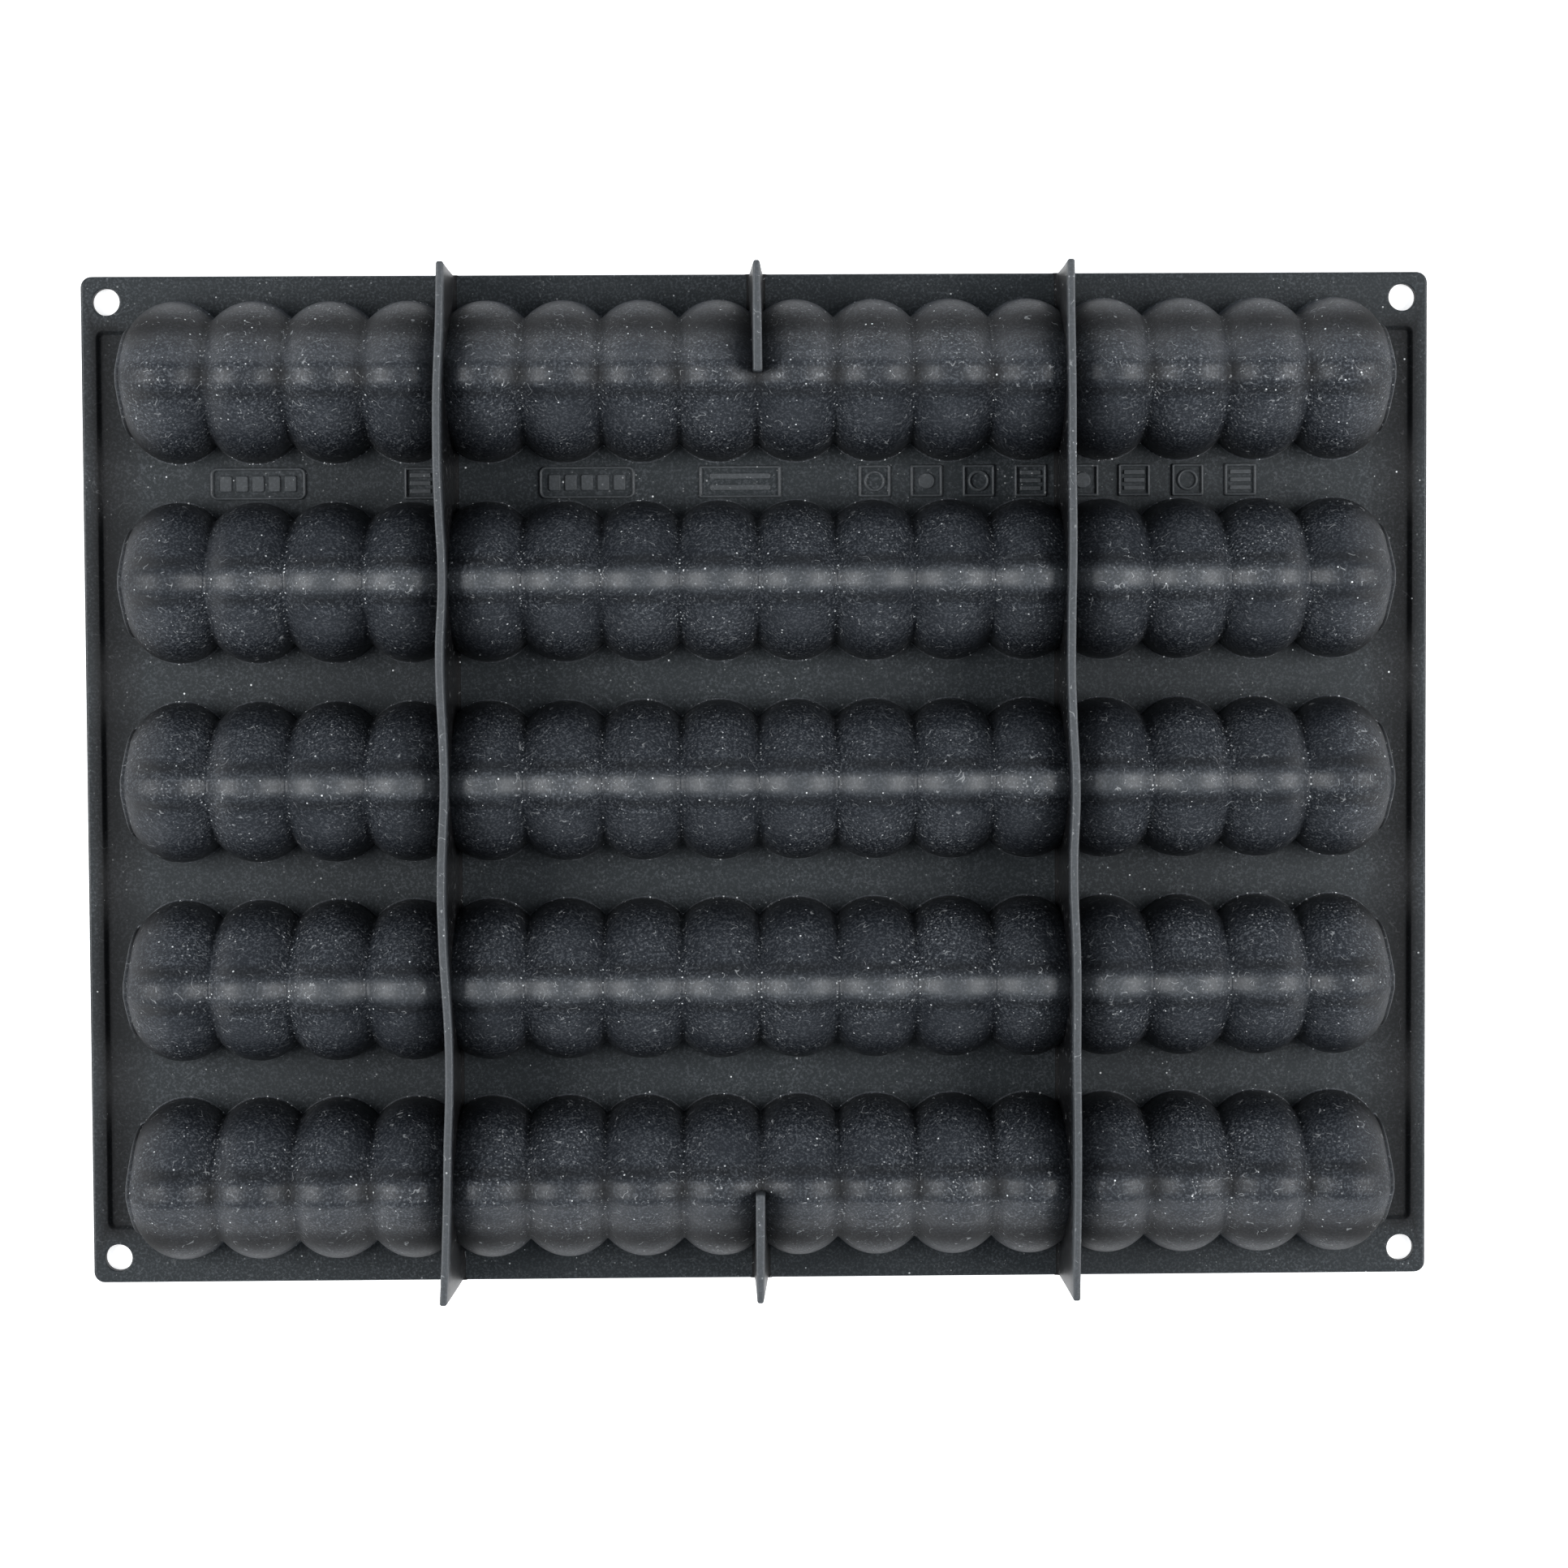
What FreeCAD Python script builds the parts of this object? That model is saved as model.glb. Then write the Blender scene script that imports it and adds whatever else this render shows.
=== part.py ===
"""Silicone mini log cake mould, one moulded piece lying on its flat open face.

The flat face is at z = 0, so the five log cavities open downwards and the outside
of the logs, the ribs and the fins stand up. X runs along the logs, Y across them.
The origin is the middle of the flat face.
"""
import FreeCAD
import Part
import math
import os

# Plate, millimetres
plate_length = 400.0
plate_width = 300.0
corner_radius = 3.2
rim_thickness = 3.2
edge_bevel = 0.7

# Sunken field inside the rim
field_thickness = 1.8
rim_short_side = 4.2
rim_long_side = 15.8
rim_slope = 1.6
field_corner_radius = 0.8

# Corner holes
hole_diameter = 8.0
hole_inset = 7.5

# Logs: their rows, and the arch that is their section at the middle of a bulge
row_count = 5
row_pitch = 59.2
arch_half_width = 23.7
arch_height = 40.0
arch_wall_rise = 5.7
arch_crest_width = 5.8
arch_roof_angle = 44.0
log_wall = 1.8

# Bulges along a log: round in plan and in height, with a sharp valley between two of them,
# and a straight collar where the last bulge runs into the flat end
bulge_count = 16
bulge_pitch = 22.86
valley_depth = 5.6
collar_depth = 7.6
collar_length = 1.15

# Facets: chords along one bulge outside and inside, and the corners on a shoulder,
# each as a share of the shoulder's turn
outer_chords = 4
inner_chords = 4
shoulder_corners = (0.0, 0.6)

# Ribs across the logs, and the two short fins at the long edges
rib_height = 44.8
rib_valleys = (4, 12)
fin_valley = 8
rib_top_thickness = 2.2
rib_root_thickness = 4.2
rib_top_round = 0.8
rib_root_fillet = 1.6

# How far a cutting shape runs past the face that it opens
overrun = 5.0


def rounded_rectangle(length, width, radius, height):
    """Closed wire of a rectangle with round corners, centred on the Z axis."""
    half_x, half_y = length / 2, width / 2
    corners = ((1, 1), (-1, 1), (-1, -1), (1, -1))
    diagonal = radius * math.sqrt(0.5)
    arcs = []
    for number, (sx, sy) in enumerate(corners):
        centre = FreeCAD.Vector(sx * (half_x - radius), sy * (half_y - radius), height)
        side = FreeCAD.Vector(sx * radius, 0, 0)
        end = FreeCAD.Vector(0, sy * radius, 0)
        first, last = (side, end) if number % 2 == 0 else (end, side)
        middle = centre + FreeCAD.Vector(sx * diagonal, sy * diagonal, 0)
        arcs.append(Part.Arc(centre + first, middle, centre + last))
    edges = []
    for arc, following in zip(arcs, arcs[1:] + arcs[:1]):
        edges.append(arc.toShape())
        edges.append(Part.LineSegment(arc.EndPoint, following.StartPoint).toShape())
    return Part.Wire(edges)


def plate():
    """Flat sheet as thick as the rim, bevelled along its upper outer edge."""
    outline = rounded_rectangle(plate_length, plate_width, corner_radius, 0.0)
    slab = Part.Face(outline).extrude(FreeCAD.Vector(0, 0, rim_thickness))
    top_edges = [e for e in slab.Edges if e.BoundBox.ZMin > rim_thickness / 2]
    return slab.makeChamfer(edge_bevel, top_edges)


def field():
    """The sunken field inside the rim, with sloping sides, as a cutting shape."""
    length = plate_length - 2 * rim_short_side
    width = plate_width - 2 * rim_long_side
    rise = rim_thickness - field_thickness
    run = rim_slope * (rise + overrun) / rise
    floor = rounded_rectangle(length - 2 * rim_slope, width - 2 * rim_slope,
                              field_corner_radius, field_thickness)
    above = rounded_rectangle(length + 2 * (run - rim_slope), width + 2 * (run - rim_slope),
                              field_corner_radius + run, rim_thickness + overrun)
    return Part.makeLoft([floor, above], True, True)


def holes():
    """The four corner holes as cutting shapes."""
    start = FreeCAD.Vector(plate_length / 2 - hole_inset, plate_width / 2 - hole_inset, -overrun)
    depth = rim_thickness + 2 * overrun
    return [Part.makeCylinder(hole_diameter / 2, depth, FreeCAD.Vector(sx * start.x, sy * start.y, start.z))
            for sx in (-1, 1) for sy in (-1, 1)]


def shoulder_radius():
    """Radius of the shoulder that meets the upright wall and the straight roof smoothly."""
    slope = math.radians(arch_roof_angle)
    spare = arch_height - arch_wall_rise - (arch_half_width - arch_crest_width / 2) * math.tan(slope)
    return spare / (math.cos(slope) - (1 - math.sin(slope)) * math.tan(slope))


def arch_section(inset):
    """Corners (y, z) of a log's section, moved inwards by inset, from foot to foot."""
    slope = math.radians(arch_roof_angle)
    radius = shoulder_radius() - inset
    half_width = arch_half_width - inset
    half = [(half_width, 0.0)]
    for share in shoulder_corners:
        turn = share * (math.pi / 2 - slope)
        half.append((half_width - radius * (1 - math.cos(turn)), arch_wall_rise + radius * math.sin(turn)))
    half.append((arch_crest_width / 2 - inset * math.tan(slope / 2), arch_height - inset))
    return half + [(-y, z) for y, z in reversed(half)]


def bulge_radius():
    """Radius of a bulge in plan, which gives the valleys their depth."""
    return ((bulge_pitch / 2) ** 2 + valley_depth ** 2) / (2 * valley_depth)


def bulge_stations(centre_x, before, after, inset, chords):
    """Stations (x, depth under the middle of the bulge) at equal angles on the arc of one bulge.

    The bulge runs from centre_x - before to centre_x + after.
    """
    radius = bulge_radius() - inset
    first, last = -math.asin(before / radius), math.asin(after / radius)
    angles = [first + (last - first) * number / chords for number in range(chords + 1)]
    return [(centre_x + radius * math.sin(angle), radius * (1 - math.cos(angle))) for angle in angles]


def collar_start(inset):
    """How far from the middle of the last bulge its arc runs into the collar."""
    radius = bulge_radius() - inset
    return math.sqrt(radius ** 2 - (radius - collar_depth) ** 2)


def log_stations(inset, chords):
    """Stations of a whole log from its left end to its right end, each valley once."""
    first_x = -bulge_pitch * (bulge_count - 1) / 2
    end = collar_start(0.0) + collar_length - inset
    last_arc = min(collar_start(inset), end)
    stations = []
    for number in range(bulge_count):
        before = last_arc if number == 0 else bulge_pitch / 2
        after = last_arc if number == bulge_count - 1 else bulge_pitch / 2
        bulge = bulge_stations(first_x + number * bulge_pitch, before, after, inset, chords)
        stations += bulge if number == 0 else bulge[1:]
    if end > last_arc:
        stations = [(first_x - end, stations[0][1])] + stations + [(end - first_x, stations[-1][1])]
    return stations


def flat_face(points):
    """The flat face inside a closed ring of points."""
    return Part.Face(Part.makePolygon(points + points[:1]))


def log_solid(inset, chords):
    """One closed log with its bulges, moved inwards by inset, along the X axis.

    At each station the whole section is as much narrower and lower as the bulge is deep there.
    """
    section = arch_section(inset)
    half_width, height = arch_half_width - inset, arch_height - inset
    rings = [[FreeCAD.Vector(x, y * (1 - depth / half_width), z * (1 - depth / height)) for y, z in section]
             for x, depth in log_stations(inset, chords)]
    faces = [flat_face(rings[0]), flat_face(rings[-1]),
             flat_face([ring[0] for ring in rings] + [ring[-1] for ring in reversed(rings)])]
    for ring, following in zip(rings, rings[1:]):
        for corner in range(len(section) - 1):
            start, end = (corner, corner + 1) if corner < len(section) // 2 else (corner + 1, corner)
            faces.append(flat_face([ring[start], ring[end], following[start]]))
            faces.append(flat_face([following[start], ring[end], following[end]]))
    shell = Part.makeShell(faces)
    shell.sewShape()
    solid = Part.makeSolid(shell)
    if solid.Volume < 0:
        solid.reverse()
    return solid


def rows_of(solid):
    """Copies of a log, one for each row."""
    first_y = -row_pitch * (row_count - 1) / 2
    return [solid.translated(FreeCAD.Vector(0, first_y + number * row_pitch, 0))
            for number in range(row_count)]


def valley_x(number):
    """X of the valley after the given bulge, counted from the left end."""
    return (number - bulge_count / 2) * bulge_pitch


def rib(x, start_y, end_y):
    """A thin upright rib with drafted sides, rounded top edges and a filleted root."""
    top, root = rib_top_thickness / 2, rib_root_thickness / 2
    toe = root + rib_root_fillet
    knee = field_thickness + rib_root_fillet
    bend = rib_root_fillet * (1 - math.sqrt(0.5))
    ease = rib_top_round * (1 - math.sqrt(0.5))

    def at(y, z):
        return FreeCAD.Vector(x + y, start_y, z)

    def flank(side):
        inward = side * (top - rib_top_round)
        return [
            Part.LineSegment(at(side * toe, 0), at(side * toe, field_thickness)).toShape(),
            Part.Arc(at(side * toe, field_thickness), at(side * (root + bend), field_thickness + bend),
                     at(side * root, knee)).toShape(),
            Part.LineSegment(at(side * root, knee), at(side * top, rib_height - rib_top_round)).toShape(),
            Part.Arc(at(side * top, rib_height - rib_top_round), at(side * (top - ease), rib_height - ease),
                     at(inward, rib_height)).toShape()]

    edges = flank(1) + flank(-1)
    edges.append(Part.LineSegment(at(top - rib_top_round, rib_height),
                                  at(rib_top_round - top, rib_height)).toShape())
    edges.append(Part.LineSegment(at(toe, 0), at(-toe, 0)).toShape())
    profile = Part.Face(Part.Wire(Part.__sortEdges__(edges)))
    return profile.extrude(FreeCAD.Vector(0, end_y - start_y, 0))


def ribs_and_fins():
    """The full-width ribs, and the fins that end on the crests of the outer logs."""
    edge = plate_width / 2
    outer_row = row_pitch * (row_count - 1) / 2
    upright = [rib(valley_x(number), -edge, edge) for number in rib_valleys]
    upright.append(rib(valley_x(fin_valley), outer_row, edge))
    upright.append(rib(valley_x(fin_valley), -edge, -outer_row))
    return upright


def log_mould():
    """The whole mould: plate, logs, ribs and fins, with the cavities and holes cut out."""
    sheet = plate().cut(field())
    body = sheet.fuse(rows_of(log_solid(0.0, outer_chords)) + ribs_and_fins())
    body = body.cut(rows_of(log_solid(log_wall, inner_chords)) + holes())
    return body.removeSplitter()


os.makedirs("parts", exist_ok=True)
mould = log_mould()
mould.exportStep("parts/log_mould.step")
print("log_mould", "valid", mould.isValid(), "solids", len(mould.Solids), "faces", len(mould.Faces),
      "volume", round(mould.Volume), "box", mould.BoundBox)
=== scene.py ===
"""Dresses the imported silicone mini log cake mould, which lies on its flat open face.

Sizes are in millimetres in the classes and become metres where a mesh is made.
X runs along the logs, Y across them, and Z from the open face up to the ribs.
"""
import logging
import math
from collections.abc import Callable
from dataclasses import dataclass, field
from enum import Enum
from functools import partial

import bpy
import numpy as np
from mathutils import Matrix, Quaternion, Vector
from mathutils.geometry import delaunay_2d_cdt


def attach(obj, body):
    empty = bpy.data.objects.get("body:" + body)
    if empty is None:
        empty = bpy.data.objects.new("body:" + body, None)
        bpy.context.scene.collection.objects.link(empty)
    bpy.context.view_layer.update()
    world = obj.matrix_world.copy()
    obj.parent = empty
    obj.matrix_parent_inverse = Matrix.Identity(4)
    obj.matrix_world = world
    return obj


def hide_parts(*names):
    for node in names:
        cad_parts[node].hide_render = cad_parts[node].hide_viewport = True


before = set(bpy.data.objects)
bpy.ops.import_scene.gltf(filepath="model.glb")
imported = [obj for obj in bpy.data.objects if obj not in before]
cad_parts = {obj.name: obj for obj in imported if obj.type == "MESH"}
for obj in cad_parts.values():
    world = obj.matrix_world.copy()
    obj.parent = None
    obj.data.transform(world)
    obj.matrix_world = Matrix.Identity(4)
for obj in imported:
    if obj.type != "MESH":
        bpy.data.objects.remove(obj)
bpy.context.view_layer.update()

MM = 0.001
BODY, NODE, SLOT = "root", "log_mould", "silicone"
log = logging.getLogger("mould")

# What every vertex tells its finish: dust in nooks, a painted highlight on crests and edges, painted light
# (above 0) and painted shade (below 0), and how matt
MARKS = ("nook", "crest", "painted_shading", "matt")

# Points weld where they fall on the same step of this grid, in steps to the millimetre
WELD_STEPS = 2000

# Nearer than this, in millimetres, two points of a flat region are one
SAME_POINT = 1e-5

# Colour sockets of a Mix node, which has several of the same name
MIX_BELOW, MIX_ABOVE, MIX_RESULT = 6, 7, 2
WHITE = (1.0, 1.0, 1.0)


# Small helpers for curves and loops


def quarter(steps: int) -> np.ndarray:
    """Angles of a quarter turn that is cut into the given number of steps."""
    return np.linspace(0, math.pi / 2, steps + 1)


def smooth_curve(knots: tuple[tuple[float, float], ...], at: np.ndarray) -> np.ndarray:
    """A smooth curve through the knots, read at the given places.

    Args:
        knots: Pairs of place and value, in rising order of place.
        at: Places where the curve is read.

    Returns:
        The value at each place.
    """
    x, y = np.array(knots).T
    slope = np.gradient(y, x)
    i = np.clip(np.searchsorted(x, at) - 1, 0, len(x) - 2)
    gap = x[i + 1] - x[i]
    t = np.clip((at - x[i]) / gap, 0.0, 1.0)
    first, second = y[i] + slope[i] * gap * t, y[i + 1] - slope[i + 1] * gap * (1 - t)
    return first + (second - first) * t * t * (3 - 2 * t)


def round_rectangle(half_x: float, half_y: float, radius: float, steps: int = 7) -> np.ndarray:
    """Loop of a rectangle with round corners, anticlockwise about the origin.

    Args:
        half_x: Half of its length.
        half_y: Half of its width.
        radius: Radius of its corners.
        steps: Chords on each corner.

    Returns:
        The points, one row each.
    """
    turn = quarter(steps)
    loop = []
    for number, (sx, sy) in enumerate(((1, 1), (-1, 1), (-1, -1), (1, -1))):
        angle = turn + number * math.pi / 2
        loop.append(np.stack([sx * (half_x - radius) + radius * np.cos(angle),
                              sy * (half_y - radius) + radius * np.sin(angle)], 1))
    return np.concatenate(loop)


def circle(radius: float, count: int = 40) -> np.ndarray:
    """Loop of a circle about the origin, anticlockwise."""
    angle = np.arange(count) * 2 * math.pi / count
    return radius * np.stack([np.cos(angle), np.sin(angle)], 1)


def inside(points: np.ndarray, loop: np.ndarray) -> np.ndarray:
    """Which points lie inside a closed loop.

    Args:
        points: Points to try, one row each.
        loop: Corners of the loop.

    Returns:
        True for each point that lies inside.
    """
    result = np.zeros(len(points), bool)
    for (ax, ay), (bx, by) in zip(loop, np.roll(loop, -1, 0)):
        if ay != by:
            crosses = (ay > points[:, 1]) != (by > points[:, 1])
            result ^= crosses & (points[:, 0] < (bx - ax) * (points[:, 1] - ay) / (by - ay) + ax)
    return result


def triangulate(border: np.ndarray, creases: list[np.ndarray],
                holes: list[np.ndarray]) -> tuple[np.ndarray, np.ndarray]:
    """Triangles of a flat region with holes, with edges kept along the creases.

    Args:
        border: Outer loop of the region.
        creases: Loops inside it that must stay edges.
        holes: Loops whose inside is left out.

    Returns:
        The points and the triangles.
    """
    loops = [border, *creases, *holes]
    edges, start = [], 0
    for loop in loops:
        edges += [(start + i, start + (i + 1) % len(loop)) for i in range(len(loop))]
        start += len(loop)
    flat = [Vector(p) for p in np.concatenate(loops).tolist()]
    made = delaunay_2d_cdt(flat, edges, [], 0, SAME_POINT, False)
    corners, faces = np.array([tuple(v) for v in made[0]]), np.array(made[2])
    middle = corners[faces].mean(1)
    keep = inside(middle, border)
    for hole in holes:
        low, high = hole.min(0), hole.max(0)
        near = keep & (middle > low).all(1) & (middle < high).all(1)
        keep[near] &= ~inside(middle[near], hole)
    return corners, faces[keep]


@dataclass
class MeshDraft:
    """Points and faces of one mesh, gathered in millimetres and welded where they meet."""

    points: list[np.ndarray] = field(default_factory=list)
    normals: list[np.ndarray] = field(default_factory=list)
    marks: list[np.ndarray] = field(default_factory=list)
    faces: list[tuple[int, ...]] = field(default_factory=list)
    flat_faces: list[tuple[int, ...]] = field(default_factory=list)
    count: int = 0

    def add(self, points: np.ndarray, normals: np.ndarray | None = None,
            marks: np.ndarray | tuple[float, ...] = (0.0, 0.0, 0.0, 0.0)) -> int:
        """Adds points.

        Args:
            points: Their places, one row each.
            normals: Their normals, or None where the faces give them.
            marks: The amounts named by MARKS, one row for each point or one for all.

        Returns:
            The number of the first new point.
        """
        start = self.count
        self.points.append(points)
        self.normals.append(np.zeros_like(points) if normals is None else normals)
        self.marks.append(np.broadcast_to(marks, (len(points), len(MARKS))).astype(float))
        self.count += len(points)
        return start

    def weave(self, start: int, rows: int, columns: int, closed: bool = False, turned: bool = False) -> None:
        """Fills a grid of points with four-sided faces.

        Args:
            start: Number of its first point.
            rows: Rows of the grid.
            columns: Points in each row.
            closed: Whether each row closes on itself.
            turned: Whether the faces look the other way.
        """
        first = start + np.arange(rows - 1)[:, None] * columns
        column = np.arange(columns if closed else columns - 1)
        a, b = first + column, first + (column + 1) % columns
        quads = np.stack([a, b, b + columns, a + columns], -1).reshape(-1, 4)
        self.faces += [tuple(q) for q in (quads[:, ::-1] if turned else quads).tolist()]

    def fill(self, numbers: list[int], turned: bool = False) -> None:
        """Adds one flat face with the given corners."""
        self.flat_faces.append(tuple(numbers[::-1] if turned else numbers))

    def build(self, name: str, material: bpy.types.Material) -> bpy.types.Object:
        """Makes the object.

        Args:
            name: Name of the piece.
            material: Its finish.

        Returns:
            The object, riding on the mould's body.
        """
        points, marks = np.concatenate(self.points), np.concatenate(self.marks)
        normals = np.concatenate(self.normals)
        _, first, where = np.unique(np.round(points * WELD_STEPS).astype(np.int64), axis=0,
                                    return_index=True, return_inverse=True)
        where = where.reshape(-1)
        faces, smooth = [], []
        for group, is_smooth in ((self.faces, True), (self.flat_faces, False)):
            for face in group:
                ring = [int(where[number]) for number in face]
                ring = [p for p, q in zip(ring, ring[1:] + ring[:1]) if p != q]
                if len(set(ring)) == len(ring) > 2:
                    faces.append(ring)
                    smooth.append(is_smooth)
        mesh = bpy.data.meshes.new(name)
        mesh.from_pydata((points[first] * MM).tolist(), [], faces)
        mesh.polygons.foreach_set("use_smooth", smooth)
        for column, mark in enumerate(MARKS):
            mask = mesh.attributes.new(mark, "FLOAT", "POINT")
            mask.data.foreach_set("value", np.ascontiguousarray(marks[first, column]))
        mesh.update()
        if np.abs(normals).max() > 0:
            mesh.normals_split_custom_set_from_vertices(normals[first].tolist())
        mesh.materials.append(material)
        piece = bpy.data.objects.new(name, mesh)
        bpy.context.scene.collection.objects.link(piece)
        return settle(piece)


def settle(piece: bpy.types.Object) -> bpy.types.Object:
    """Lets a piece ride on the mould's body and stand for the moulded node.

    Args:
        piece: The new piece, in place.

    Returns:
        The same piece.
    """
    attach(piece, BODY)
    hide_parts(NODE)
    log.info("%s: %d faces", piece.name, len(piece.data.polygons))
    return piece


# The sheet


@dataclass
class Sheet:
    """The flat sheet: raised rim, sunken field, corner holes and the openings of the cavities."""

    length: float = 400.0
    width: float = 300.0
    corner_radius: float = 3.2
    rim_level: float = 3.2
    field_level: float = 1.8
    rim_short_side: float = 4.2
    rim_long_side: float = 15.8
    step_run: float = 1.6
    step_corner: float = 2.4
    top_round: float = 0.8
    under_round: float = 0.3
    hole_radius: float = 4.0
    hole_inset: float = 7.5
    hole_round: float = 0.45
    rounding_steps: int = 5
    step_chords: int = 8
    step_rings: int = 8
    normal_reach: float = 0.02
    end_shade: float = 0.9
    end_shade_from: float = 182.0
    end_shade_run: float = 6.0

    def beyond_step(self, x: np.ndarray, y: np.ndarray) -> np.ndarray:
        """Distance outwards from the line where the rim's flat top ends.

        Args:
            x: Places along the logs.
            y: Places across the logs.

        Returns:
            The distance at each place, negative towards the field.
        """
        dx = np.abs(x) - (self.length / 2 - self.rim_short_side - self.step_corner)
        dy = np.abs(y) - (self.width / 2 - self.rim_long_side - self.step_corner)
        return (np.hypot(np.maximum(dx, 0), np.maximum(dy, 0)) + np.minimum(np.maximum(dx, dy), 0)
                - self.step_corner)

    def level(self, x: np.ndarray, y: np.ndarray) -> np.ndarray:
        """Height of the sheet's upper face.

        Args:
            x: Places along the logs.
            y: Places across the logs.

        Returns:
            The height at each place.
        """
        t = np.clip(1 + self.beyond_step(x, y) / self.step_run, 0, 1)
        return self.field_level + (self.rim_level - self.field_level) * t * t * (3 - 2 * t)

    def upper_normals(self, x: np.ndarray, y: np.ndarray) -> np.ndarray:
        """Normals of the upper face.

        Args:
            x: Places along the logs.
            y: Places across the logs.

        Returns:
            The normal at each place.
        """
        e = self.normal_reach
        tilt = [-(self.level(x + e, y) - self.level(x - e, y)) / (2 * e),
                -(self.level(x, y + e) - self.level(x, y - e)) / (2 * e), np.ones_like(x)]
        normals = np.stack(tilt, 1)
        return normals / np.linalg.norm(normals, axis=1, keepdims=True)

    def outline(self, inset: float) -> np.ndarray:
        """Loop of the sheet's outer edge, moved inwards."""
        return round_rectangle(self.length / 2 - inset, self.width / 2 - inset, self.corner_radius - inset)

    def hole_places(self) -> list[np.ndarray]:
        """Middles of the four corner holes."""
        x, y = self.length / 2 - self.hole_inset, self.width / 2 - self.hole_inset
        return [np.array([sx * x, sy * y]) for sx in (-1, 1) for sy in (-1, 1)]

    def hole_loop(self, place: np.ndarray, back: float) -> np.ndarray:
        """Loop of one corner hole, moved back into the sheet."""
        return circle(self.hole_radius + back) + place

    def edge(self, draft: MeshDraft, loop_at: Callable[[float], np.ndarray], under: float, top: float,
             around: bool = False) -> None:
        """Adds an upright edge of the sheet with both its corners rounded.

        Args:
            draft: The mesh being gathered.
            loop_at: Gives the edge's loop, moved back into the sheet by a distance.
            under: Radius of the lower corner.
            top: Radius of the upper corner.
            around: Whether the sheet lies around the loop, as at a hole, and not inside it.
        """
        turn = quarter(self.rounding_steps)
        profile = [(under * (1 - math.sin(t)), under * (1 - math.cos(t)), math.sin(t), -math.cos(t))
                   for t in turn]
        profile += [(top * (1 - math.cos(t)), self.rim_level - top * (1 - math.sin(t)),
                     math.cos(t), math.sin(t)) for t in turn]
        loop = loop_at(0.0)
        ahead = np.roll(loop, -1, 0) - np.roll(loop, 1, 0)
        away = np.stack([ahead[:, 1], -ahead[:, 0]], 1) / np.linalg.norm(ahead, axis=1, keepdims=True)
        away = -away if around else away
        rings = [np.column_stack([loop_at(back), np.full(len(loop), height)])
                 for back, height, _, _ in profile]
        normals = [np.column_stack([away * outward, np.full(len(loop), upward)])
                   for _, _, outward, upward in profile]
        start = draft.add(np.concatenate(rings), np.concatenate(normals))
        draft.weave(start, len(rings), len(loop), closed=True, turned=around)

    def build(self, material: bpy.types.Material, roots: list[np.ndarray],
              openings: list[np.ndarray]) -> bpy.types.Object:
        """Builds the sheet.

        Args:
            material: Its finish.
            roots: Loops inside the logs' walls, where the upper face stops.
            openings: Loops of the cavities' openings in the lower face.

        Returns:
            The piece.
        """
        draft = MeshDraft()
        self.edge(draft, self.outline, self.under_round, self.top_round)
        for place in self.hole_places():
            self.edge(draft, partial(self.hole_loop, place), self.hole_round, self.hole_round, around=True)
        rim_holes = [self.hole_loop(place, self.hole_round) for place in self.hole_places()]
        half_x, half_y = self.length / 2 - self.rim_short_side, self.width / 2 - self.rim_long_side
        creases = [round_rectangle(half_x - run, half_y - run, self.step_corner - run, self.step_chords)
                   for run in np.linspace(0, self.step_run, self.step_rings)]
        points, faces = triangulate(self.outline(self.top_round), creases, roots + rim_holes)
        x, y = points.T
        # Painted shade, darker towards the short ends, which are made matt as well
        painted_shading = -self.end_shade * np.clip((np.abs(x) - self.end_shade_from) / self.end_shade_run, 0, 1)
        start = draft.add(np.column_stack([points, self.level(x, y)]), self.upper_normals(x, y),
                          np.stack([0 * painted_shading, 0 * painted_shading, painted_shading, -painted_shading], 1))
        draft.faces += [tuple(f) for f in (faces + start).tolist()]
        points, faces = triangulate(self.outline(self.under_round), [], openings + rim_holes)
        start = draft.add(np.column_stack([points, np.zeros(len(points))]),
                          np.tile((0.0, 0.0, -1.0), (len(points), 1)))
        draft.faces += [tuple(f) for f in (faces[:, ::-1] + start).tolist()]
        return draft.build("sheet", material)


# The logs


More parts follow.
